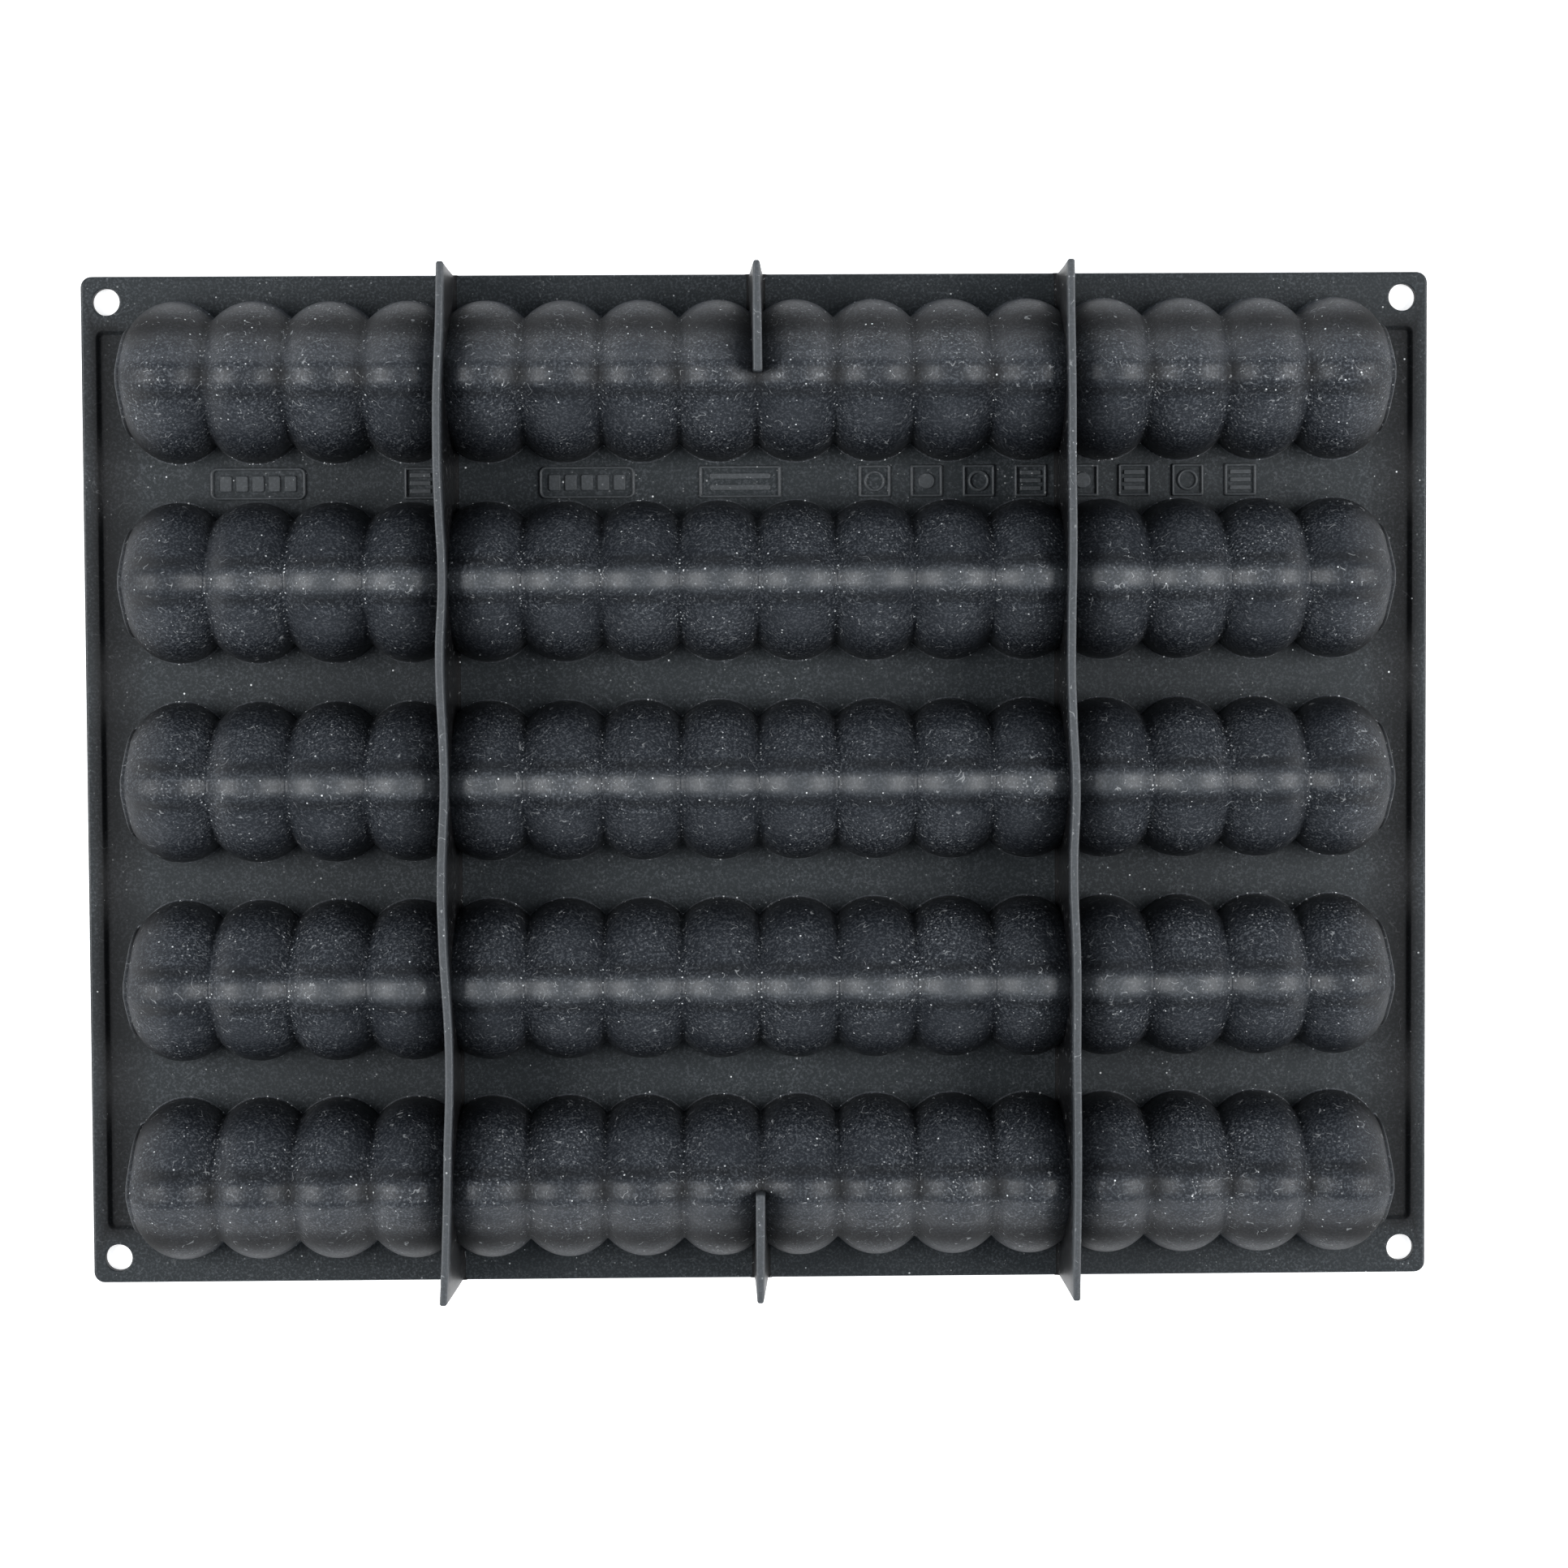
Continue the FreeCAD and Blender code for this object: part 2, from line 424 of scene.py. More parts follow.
@dataclass(frozen=True)
class ArchSection:
    """Section of a log at the middle of a bulge: upright wall, round shoulder, straight roof, flat crest."""

    half_width: float = 23.7
    height: float = 40.0
    wall_rise: float = 5.7
    crest_width: float = 5.8
    roof_angle: float = 44.0
    roof_crown: float = 0.35
    crest_softness: float = 4.6
    shoulder_steps: int = 14
    roof_steps: int = 8
    crest_steps: int = 6
    flat_steps: int = 3

    def half(self) -> tuple[np.ndarray, np.ndarray]:
        """Half of the section, from the eave to the middle of the crest.

        Returns:
            The points (y, z) and their outward normals.
        """
        slope = math.radians(self.roof_angle)
        spare = self.height - self.wall_rise - (self.half_width - self.crest_width / 2) * math.tan(slope)
        radius = spare / (math.cos(slope) - (1 - math.sin(slope)) * math.tan(slope))
        turn = np.linspace(0, math.pi / 2 - slope, self.shoulder_steps + 1)
        away = np.stack([np.cos(turn), np.sin(turn)], 1)
        shoulder = np.array([self.half_width - radius, self.wall_rise]) + radius * away
        tangent = self.crest_softness * math.tan(slope / 2)
        along, up = np.array([-math.cos(slope), math.sin(slope)]), away[-1]
        corner = np.array([self.crest_width / 2, self.height]) - along * tangent
        t = np.linspace(0, 1, self.roof_steps + 1)[1:]
        span = np.linalg.norm(corner - shoulder[-1])
        roof = shoulder[-1] + np.outer(t, corner - shoulder[-1]) + np.outer(
            self.roof_crown * np.sin(math.pi * t) ** 2, up)
        lean = self.roof_crown * math.pi * np.sin(2 * math.pi * t) / span
        roof_away = up - np.outer(lean, along)
        roof_away /= np.linalg.norm(roof_away, axis=1, keepdims=True)
        turn = np.linspace(math.pi / 2 - slope, math.pi / 2, self.crest_steps + 1)[1:]
        brow_away = np.stack([np.cos(turn), np.sin(turn)], 1)
        centre = np.array([self.crest_width / 2 - tangent, self.height - self.crest_softness])
        brow = centre + self.crest_softness * brow_away
        t = np.linspace(1, 0, self.flat_steps + 1)[1:]
        crest = np.column_stack([t * brow[-1][0], np.full(len(t), self.height)])
        crest_away = np.tile((0.0, 1.0), (len(t), 1))
        return (np.concatenate([shoulder, roof, brow, crest]),
                np.concatenate([away, roof_away, brow_away, crest_away]))


@dataclass(frozen=True)
class LogPlan:
    """Plan of a log: a row of round bulges with valleys between them, and a straight collar at each end."""

    bulges: int = 16
    pitch: float = 22.86
    valley_depth: float = 5.6
    collar_depth: float = 7.6
    collar_length: float = 1.15
    chords: int = 20
    valley_extras: tuple[float, ...] = (0.15, 0.35, 0.6, 0.95, 1.4)
    collar_extras: tuple[float, ...] = (-0.3, -0.1, 0.0, 0.12)
    end_gap: float = 0.1

    @property
    def radius(self) -> float:
        """Radius of a bulge in plan."""
        return ((self.pitch / 2) ** 2 + self.valley_depth ** 2) / (2 * self.valley_depth)

    @property
    def last_middle(self) -> float:
        """Distance from the log's middle to the middle of its last bulge."""
        return self.pitch * (self.bulges - 1) / 2

    @property
    def half_length(self) -> float:
        """Half of the log's length."""
        return self.last_middle + self.arc_end(0.0) + self.collar_length

    def arc_end(self, inset: float) -> float:
        """How far from the middle of the last bulge its arc runs into the collar."""
        radius = self.radius - inset
        return math.sqrt(radius ** 2 - (radius - self.collar_depth) ** 2)

    def local(self, x: np.ndarray) -> np.ndarray:
        """Finds each place's own bulge.

        Args:
            x: Places along the log.

        Returns:
            The distance of each place from the middle of its bulge.
        """
        half = (self.bulges - 1) / 2
        number = np.clip(np.round(x / self.pitch + half), 0, self.bulges - 1)
        return x - (number - half) * self.pitch

    def in_valley(self, x: np.ndarray, reach: float) -> np.ndarray:
        """How far each place lies in a valley, 0 to 1."""
        gap = self.pitch / 2 - np.abs(self.local(x))
        return np.exp(-(np.maximum(gap, 0) / reach) ** 2) * (np.abs(x) < self.last_middle)

    def depth(self, x: np.ndarray, inset: float, softness: np.ndarray | float) -> np.ndarray:
        """How deep the skin lies under the middle of a bulge.

        Args:
            x: Places along the log.
            inset: How far the skin is moved inwards.
            softness: How far a valley is filled.

        Returns:
            The depth at each place.
        """
        radius = self.radius - inset
        beyond = np.abs(x) > self.last_middle
        own = np.abs(self.local(x))
        own = np.where(beyond, np.minimum(own, self.arc_end(inset)), own)
        far = self.pitch - own
        here = radius - np.sqrt(np.maximum(radius ** 2 - own ** 2, 0))
        there = radius - np.sqrt(np.maximum(radius ** 2 - far ** 2, 0)) + np.maximum(far - radius, 0)
        there = np.where(beyond, self.pitch, there)
        blend = (here + there - np.sqrt((here - there) ** 2 + softness ** 2)) / 2
        return blend - (self.pitch - np.sqrt(self.pitch ** 2 + softness ** 2)) / 2

    def places(self, half_length: float, inset: float = 0.0) -> np.ndarray:
        """Places along the log where its section is set, without its rounded ends.

        Args:
            half_length: Half of the length without the rounded ends.
            inset: How far the skin is moved inwards.

        Returns:
            The places in rising order, to the nearest micrometre.
        """
        turn = math.asin(self.pitch / 2 / self.radius)
        steps = self.radius * np.sin(np.linspace(-turn, turn, self.chords + 1))
        middles = (np.arange(self.bulges) - (self.bulges - 1) / 2) * self.pitch
        valleys = (middles[1:] + middles[:-1]) / 2
        extras = np.array([s * e for e in self.valley_extras for s in (-1, 1)])
        collar = self.last_middle + self.arc_end(inset)
        collars = np.array([s * (collar + e) for e in self.collar_extras for s in (-1, 1)])
        places = np.concatenate([np.add.outer(middles, steps).ravel(), np.add.outer(valleys, extras).ravel(),
                                 collars])
        places = np.unique(np.round(places, 3))
        return places[np.abs(places) < half_length - self.end_gap]


@dataclass(frozen=True)
class Skin:
    """One side of a log's wall, with how its ends, valleys and foot are finished."""

    inset: float
    valley_fill: float
    crest_fill: float
    end_round: float
    foot_round: float
    faces_inwards: bool = False
    rounding_steps: int = 5


OUTSIDE = Skin(inset=0.0, valley_fill=0.8, crest_fill=2.0, end_round=0.4, foot_round=0.5)
INSIDE = Skin(inset=1.8, valley_fill=1.6, crest_fill=2.6, end_round=1.2, foot_round=0.6, faces_inwards=True)


@dataclass(frozen=True)
class LogShading:
    """Where a log gets a painted highlight, painted light and painted shade, and where it is matt: lengths
    and places in millimetres, and amounts.
    """

    nook_reach: float = 1.0
    # Dust in the nook at the foot, with a painted highlight and a little painted light that draw a thin pale
    # line there
    foot: tuple[float, ...] = (0.8, 0.6, 0.3, 0.0)

    # The painted highlight on the crest, which is weaker in valleys, towards the ends and on the outer rows
    band_core: float = 1.2
    band_edge: float = 3.6
    highlight_fade: float = 62.0
    outer_highlight: float = 0.2
    valley_loss: float = 0.5
    valley_loss_reach: float = 2.2

    # Painted highlight along the edge around a flat end
    rim: float = 1.2
    rim_middle: float = 0.25
    rim_reach: float = 0.24
    rim_from: float = 6.0

    # Painted light on the shoulders in the middle of each bulge, weaker on the upper side, and painted shade
    # on the brows beside the crest and on the low walls; on the open sides only the brows, with painted light
    shoulder_y: float = 12.0
    shoulder_spread: float = 5.0
    upper_share: float = 0.4
    brow: float = 0.9
    brow_y: float = 5.8
    brow_spread: float = 2.0
    shade_below: float = 26.0
    shade_power: float = 0.7

    # Matt ends, and matt eaves and valleys on the open sides of the outer rows, all of which also get painted
    # shade
    open_beyond: float = 118.4
    end_matt: float = 0.4
    end_matt_run: float = 8.0
    valley_matt: float = 0.9
    valley_matt_reach: float = 3.0
    valley_matt_spread: float = 5.0
    eave_matt: float = 0.9
    eave_y: float = 15.5
    eave_spread: float = 4.2

    def marks(self, points: np.ndarray, middle_y: float, section: ArchSection, plan: LogPlan) -> np.ndarray:
        """How much each point lies in a nook, its painted highlight, its painted light and shade, and how
        matt it is.

        Args:
            points: Points of the log's skin, one row each.
            middle_y: Middle of the log, across the logs.
            section: The log's section.
            plan: The log's plan.

        Returns:
            The amounts named by MARKS, one row for each point.
        """
        x, y, z = points.T
        across, gap = np.abs(y - middle_y), plan.half_length - np.abs(x)
        open_side = np.abs(y) > self.open_beyond
        outer_row = abs(middle_y) + section.half_width > self.open_beyond

        # Painted highlight along the crest, and along the edge around each flat end
        edge = np.clip((across - self.band_core) / self.band_edge, 0, 1)
        crest = (1 - edge * edge * (3 - 2 * edge)) * (z > section.height / 2)
        crest *= 1 - self.valley_loss * plan.in_valley(x, self.valley_loss_reach)
        crest *= (self.outer_highlight if outer_row else 1.0) * np.clip(gap / self.highlight_fade, 0, 1)
        rim = np.clip(1 - np.abs(gap - self.rim_middle) / self.rim_reach, 0, 1)
        crest += self.rim * rim * (z > self.rim_from)

        in_valley = np.exp(-(across / self.valley_matt_spread) ** 2)
        in_valley = in_valley * plan.in_valley(x, self.valley_matt_reach)
        eave = np.exp(-((across - self.eave_y) / self.eave_spread) ** 2)
        matt = self.end_matt * np.clip((np.abs(x) - plan.last_middle) / self.end_matt_run, 0, 1)
        matt += self.valley_matt * outer_row * in_valley + self.eave_matt * open_side * eave

        # Painted light on the shoulders, painted shade on the brows and low walls, and painted shade wherever
        # it is matt; on the open sides the brows get painted light
        middle = np.clip(1 - (plan.local(x) / (plan.pitch / 2)) ** 2, 0, 1)
        shoulder = np.exp(-((across - self.shoulder_y) / self.shoulder_spread) ** 2)
        brow = self.brow * np.exp(-((across - self.brow_y) / self.brow_spread) ** 2)
        low = np.clip((self.shade_below - z) / self.shade_below, 0, 1) ** self.shade_power
        lit = np.where(y > middle_y, self.upper_share, 1.0)
        painted_shading = np.where(open_side, brow, middle * (lit * shoulder - brow) - low) - matt
        return np.stack([plan.in_valley(x, self.nook_reach), crest, np.clip(painted_shading, -1, 1), matt], 1)


@dataclass
class LogRow:
    """One thin-walled log of bulges, hollow from below."""

    number: int
    middle_y: float
    sheet: Sheet
    section: ArchSection = ArchSection()
    plan: LogPlan = LogPlan()
    shading: LogShading = LogShading()
    end_steps: int = 24
    wall_rows: tuple[float, ...] = (0.0, 0.35, 0.7)
    core_stations: int = 61
    core_stride: int = 3
    core_bottom: float = -5.0

    def stations(self, skin: Skin) -> tuple[np.ndarray, np.ndarray, np.ndarray]:
        """Stations along the log for one skin.

        Args:
            skin: The side of the wall.

        Returns:
            Places, insets of the section there, and the turn of the rounded end in radians.
        """
        end = self.plan.half_length - skin.inset
        main = self.plan.places(end - skin.end_round, skin.inset)
        main = np.concatenate([[skin.end_round - end], main, [end - skin.end_round]])
        turn = quarter(skin.rounding_steps)[1:]
        tip = end - skin.end_round * (1 - np.sin(turn))
        x = np.concatenate([-tip[::-1], main, tip])
        turns = np.concatenate([-turn[::-1], np.zeros(len(main)), turn])
        return x, skin.end_round * (1 - np.cos(turns)), turns

    def foot_reach(self, skin: Skin, x: np.ndarray) -> np.ndarray:
        """Half width of the skin at the foot, at the given places."""
        return self.section.half_width - skin.inset - self.plan.depth(x, skin.inset, skin.valley_fill)

    def shape(self, skin: Skin, x: np.ndarray, half: np.ndarray) -> tuple[np.ndarray, np.ndarray]:
        """The half section at each place, narrower and lower by the depth of the bulge there.

        Args:
            skin: The side of the wall.
            x: Places along the log.
            half: Half of the section at the middle of a bulge, moved to this skin.

        Returns:
            The y and z of every point, one row for each place.
        """
        tall = (half[:, 1] / self.section.height) ** 2
        fill = skin.valley_fill + (skin.crest_fill - skin.valley_fill) * tall
        depth = self.plan.depth(x[:, None], skin.inset, fill[None, :])
        return (half[:, 0] * (1 - depth / (self.section.half_width - skin.inset)),
                half[:, 1] * (1 - depth / (self.section.height - skin.inset)))

    def foot(self, skin: Skin, x: np.ndarray, y: np.ndarray) -> np.ndarray:
        """Level of the face that this skin runs into, at the given places."""
        return np.zeros_like(x) if skin.faces_inwards else self.sheet.level(x, y + self.middle_y)

    def foot_loop(self, skin: Skin, away: float) -> np.ndarray:
        """Loop around the log's foot, about the log's own middle.

        Args:
            skin: The side of the wall.
            away: Distance outwards from the skin's own wall.

        Returns:
            The points (x, y), one row each.
        """
        x, inset, turns = self.stations(skin)
        y = self.foot_reach(skin, x) - inset
        right = np.stack([x + away * np.sin(turns), y + away * np.cos(turns)], 1)
        left = right[::-1] * (1, -1)
        t = np.linspace(0, 1, self.end_steps + 1)[1:-1, None]
        return np.concatenate([right, right[-1] + t * (left[0] - right[-1]),
                               left, left[-1] + t * (right[0] - left[-1])])

    def root_loop(self, depth: float) -> np.ndarray:
        """Loop inside the wall, where the sheet's upper face stops.

        Args:
            depth: How far it lies under the outside.

        Returns:
            The points (x, y) in the mould's own place, one row each.
        """
        end = self.plan.half_length - depth
        x = np.unique(np.concatenate([self.plan.places(end), [-end, end]]))
        y = self.foot_reach(OUTSIDE, x) - depth
        right = np.stack([x, y], 1)
        return np.concatenate([right, right[::-1] * (1, -1)]) + (0, self.middle_y)

    def opening(self) -> np.ndarray:
        """Loop (x, y) of the cavity's opening in the sheet's lower face."""
        return self.foot_loop(INSIDE, INSIDE.foot_round) + (0, self.middle_y)

    def add_skin(self, draft: MeshDraft, skin: Skin) -> None:
        """Adds one side of the wall to the draft.

        Args:
            draft: The mesh being gathered.
            skin: The side of the wall.
        """
        x, inset, turns = self.stations(skin)
        half, away = self.section.half()
        y, z = self.shape(skin, x, half - skin.inset * away)
        y, z = y - np.outer(inset, away[:, 0]), z - np.outer(inset, away[:, 1])
        sides = []
        for side in (1, -1):
            foot = self.foot(skin, x, side * y[:, 0]) + skin.foot_round
            rows = [foot + (z[:, 0] - foot) * t for t in self.wall_rows]
            sides.append((side * np.column_stack([*[y[:, 0]] * len(rows), y]), np.column_stack([*rows, z])))
        ys = np.column_stack([sides[0][0], sides[1][0][:, -2::-1]]) + self.middle_y
        zs = np.column_stack([sides[0][1], sides[1][1][:, -2::-1]])
        rows, columns = ys.shape
        points = np.stack([np.repeat(x, columns), ys.ravel(), zs.ravel()], 1)
        start = draft.add(points, marks=self.shading.marks(points, self.middle_y, self.section, self.plan))
        draft.weave(start, rows, columns, turned=not skin.faces_inwards)
        self.add_foot(draft, skin)
        self.add_ends(draft, skin, start, rows, columns)

    def add_foot(self, draft: MeshDraft, skin: Skin) -> None:
        """Adds the rounding between the wall's foot and the face that it meets.

        Args:
            draft: The mesh being gathered.
            skin: The side of the wall.
        """
        rings = []
        for turn in quarter(skin.rounding_steps):
            loop = self.foot_loop(skin, skin.foot_round * (1 - math.cos(turn)))
            level = self.foot(skin, loop[:, 0], loop[:, 1])
            if not skin.faces_inwards:
                rise = self.foot_loop(skin, 0.0)
                level = level + (self.foot(skin, rise[:, 0], rise[:, 1]) - level) * math.cos(turn)
            rings.append(np.column_stack([loop + (0, self.middle_y),
                                          level + skin.foot_round * (1 - math.sin(turn))]))
        start = draft.add(np.concatenate(rings), marks=self.shading.foot)
        draft.weave(start, len(rings), len(rings[0]), closed=True, turned=skin.faces_inwards)

    def add_ends(self, draft: MeshDraft, skin: Skin, start: int, rows: int, columns: int) -> None:
        """Adds the two flat ends of one side of the wall.

        Args:
            draft: The mesh being gathered.
            skin: The side of the wall.
            start: Number of the first point of its grid.
            rows: Rows of the grid.
            columns: Points in each row.
        """
        loop = self.foot_loop(skin, 0.0)
        level = self.foot(skin, loop[:, 0], loop[:, 1]) + skin.foot_round
        first = draft.add(np.column_stack([loop + (0, self.middle_y), level]))
        steps = self.end_steps - 1
        right_end = [first + rows + i for i in range(steps)]
        left_end = [first + 2 * rows + steps + i for i in range(steps)]
        low = [start + i for i in range(columns)]
        high = [start + (rows - 1) * columns + i for i in range(columns)]
        draft.fill(high + right_end[::-1], turned=not skin.faces_inwards)
        draft.fill(low + left_end, turned=skin.faces_inwards)

    def build(self, material: bpy.types.Material) -> bpy.types.Object:
        """Builds the log's wall, outside and inside.

        Args:
            material: Its finish.

        Returns:
            The piece.
        """
        draft = MeshDraft()
        for skin in (OUTSIDE, INSIDE):
            self.add_skin(draft, skin)
        return draft.build(f"log_row_{self.number}", material)

    def core(self, middle_x: float, half_reach: float, depth: float) -> bpy.types.Object:
        """A closed stretch of the log inside its wall, which trims what stands on it.

        Args:
            middle_x: Middle of the stretch.
            half_reach: Half of its length.
            depth: How far it lies under the outside.

        Returns:
            An object to cut with, which is removed after use.
        """
        x = np.linspace(middle_x - half_reach, middle_x + half_reach, self.core_stations)
        half, away = self.section.half()
        keep = np.r_[0:len(half):self.core_stride, len(half) - 1]
        half, away = half[keep], away[keep]
        y, z = self.shape(OUTSIDE, x, half)
        y, z = y - depth * away[:, 0], z - depth * away[:, 1]
        y = np.column_stack([y[:, :1], y, -y[:, -2::-1], -y[:, :1]]) + self.middle_y
        low = np.full((len(x), 1), self.core_bottom)
        z = np.column_stack([low, z, z[:, -2::-1], low])
        rows, columns = y.shape
        draft = MeshDraft()
        start = draft.add(np.stack([np.repeat(x, columns), y.ravel(), z.ravel()], 1))
        draft.weave(start, rows, columns, closed=True, turned=True)
        draft.fill([start + i for i in range(columns)])
        draft.fill([start + (rows - 1) * columns + i for i in range(columns)], turned=True)
        mesh = bpy.data.meshes.new("core")
        mesh.from_pydata((np.concatenate(draft.points) * MM).tolist(), [], draft.faces + draft.flat_faces)
        core = bpy.data.objects.new("core", mesh)
        bpy.context.scene.collection.objects.link(core)
        return core


# Ribs and fins


@dataclass
class Upright:
    """A thin upright rib or fin that runs across the logs, a little wavy along its top."""

    name: str
    x: float
    start_y: float
    end_y: float
    sheet: Sheet
    sway: tuple[tuple[float, float], ...]
    top_widths: tuple[tuple[float, float], ...]
    height: float = 44.8
    root_width: float = 4.2
    root_fillet: float = 0.7
    top_round: float = 0.55
    most_round: float = 0.7
    end_round: float = 0.75
    toe_reach: float = 0.8
    toe_depth: float = 0.12
    lean_power: float = 1.4
    side_rows: int = 9
    rounding_steps: int = 5
    spacing: float = 1.5
    fewest_rings: int = 4
    trim_reach: float = 8.0
    trim_depth: float = 0.9

    # Dust on the sides, a painted highlight on the top, the run over which painted shade darkens a side
    # downwards, and a matt foot
    dust: float = 0.5
    dust_gap: float = 1.5
    highlight_gap: float = 0.8
    shade_run: float = 8.0
    matt: float = 1.2
    matt_below: float = 5.0

    def side(self, level: float, top_half: float) -> np.ndarray:
        """One side of the profile, from its buried foot to the middle of the top.

        Args:
            level: Height of the sheet where it stands.
            top_half: Half of its thickness at the top.

        Returns:
            The points (distance from the middle, height), one row each.
        """
        root = self.root_width / 2
        turn = quarter(self.rounding_steps)
        fillet, edge = self.root_fillet, min(self.top_round, top_half * self.most_round)
        toe = np.stack([root + fillet * (1 - np.sin(turn)), level + fillet * (1 - np.cos(turn))], 1)
        t = np.linspace(0, 1, self.side_rows + 1)[1:, None]
        flank = toe[-1] + t * (np.array([top_half, self.height - edge]) - toe[-1])
        brow = np.stack([top_half - edge * (1 - np.cos(turn)),
                         self.height - edge * (1 - np.sin(turn))], 1)[1:]
        return np.concatenate([[[root + fillet + self.toe_reach, level - self.toe_depth]], toe, flank, brow,
                               [[0.0, self.height]]])

    def ring(self, y: float, inset: float) -> np.ndarray:
        """Closed ring of points at one place along the rib.

        Args:
            y: The place.
            inset: How far the ring is drawn in, for the rounded ends.

        Returns:
            The points, one row each.
        """
        level = float(self.sheet.level(np.array([self.x]), np.array([y]))[0])
        top_half = float(smooth_curve(self.top_widths, np.array([y]))[0]) / 2
        half = self.side(level, top_half)
        half[:, 0] = np.maximum(half[:, 0] - inset, 0)
        half[1:, 1] = np.minimum(half[1:, 1], self.height - inset)
        full = np.concatenate([half, half[-2::-1] * (-1, 1)])
        lean = float(smooth_curve(self.sway, np.array([y]))[0])
        rise = np.clip((full[:, 1] - level) / (self.height - level), 0, 1) ** self.lean_power
        return np.column_stack([self.x + full[:, 0] + lean * rise, np.full(len(full), y), full[:, 1]])

    def build(self, material: bpy.types.Material, rows: list[LogRow]) -> bpy.types.Object:
        """Builds the rib and trims it to the logs that it stands on.

        Args:
            material: Its finish.
            rows: The logs that it crosses.

        Returns:
            The piece.
        """
        turn = quarter(self.rounding_steps)
        rounding = self.end_round * (1 - np.sin(turn))
        draw_in = self.end_round * (1 - np.cos(turn))
        count = max(int((self.end_y - self.start_y) / self.spacing), self.fewest_rings)
        main = np.linspace(self.start_y + self.end_round, self.end_y - self.end_round, count + 1)
        y = np.concatenate([self.start_y + rounding[::-1][:-1], main, self.end_y - rounding[1:]])
        inset = np.concatenate([draw_in[::-1][:-1], np.zeros(len(main)), draw_in[1:]])
        rings = [self.ring(float(a), float(b)) for a, b in zip(y, inset)]
        columns = len(rings[0])
        draft = MeshDraft()
        height = np.tile(rings[0][:, 2], len(rings))
        under = self.height - height
        # Dust on the sides, a painted highlight on the top, painted shade down the sides, and a matt foot
        marks = np.stack([self.dust * (under > self.dust_gap), under < self.highlight_gap,
                          -np.clip(under / self.shade_run, 0, 1), self.matt * (height < self.matt_below)], 1)
        start = draft.add(np.concatenate(rings), marks=marks)
        draft.weave(start, len(rings), columns, closed=True, turned=False)
        draft.fill([start + i for i in range(columns)], turned=True)
        draft.fill([start + (len(rings) - 1) * columns + i for i in range(columns)])
        piece = draft.build(self.name, material)
        self.trim(piece, rows)
        return piece

    def trim(self, piece: bpy.types.Object, rows: list[LogRow]) -> None:
        """Cuts away what would stand inside the logs.

        Args:
            piece: The rib or fin.
            rows: The logs that it crosses.
        """
        for row in rows:
            core = row.core(self.x, self.trim_reach, self.trim_depth)
            cut = piece.modifiers.new("trim", "BOOLEAN")
            cut.operation, cut.solver, cut.object = "DIFFERENCE", "EXACT", core
            graph = bpy.context.evaluated_depsgraph_get()
            trimmed = bpy.data.meshes.new_from_object(piece.evaluated_get(graph))
            piece.modifiers.clear()
            old, piece.data = piece.data, trimmed
            bpy.data.meshes.remove(old)
            used = core.data
            bpy.data.objects.remove(core)
            bpy.data.meshes.remove(used)
        piece.data.name = self.name


# Plain frames on the web between the first two logs


class Mark(Enum):
    """Plain raised shapes inside a frame."""

    RING = "ring"
    DISC = "disc"
    BARS = "bars"
    BLOCKS = "blocks"
    LINES = "lines"


@dataclass(frozen=True)
class Filling:
    """Plain shapes inside a frame: their sizes and places as shares of the frame's own."""

    places: tuple[tuple[float, float], ...]
    length: float
    width: float
    corner: float
    rise: float


FILLINGS = {
    Mark.BLOCKS: Filling(tuple((0.34 * step, 0.0) for step in range(-2, 3)), 0.12, 0.5, 0.5, 0.7),
    Mark.LINES: Filling(((0.0, -0.36), (0.0, 0.36)), 0.74, 0.16, 0.3, 0.7),
    Mark.BARS: Filling(((0.0, -0.5), (0.0, 0.0), (0.0, 0.5)), 0.66, 0.13, 0.2, 0.8),
}


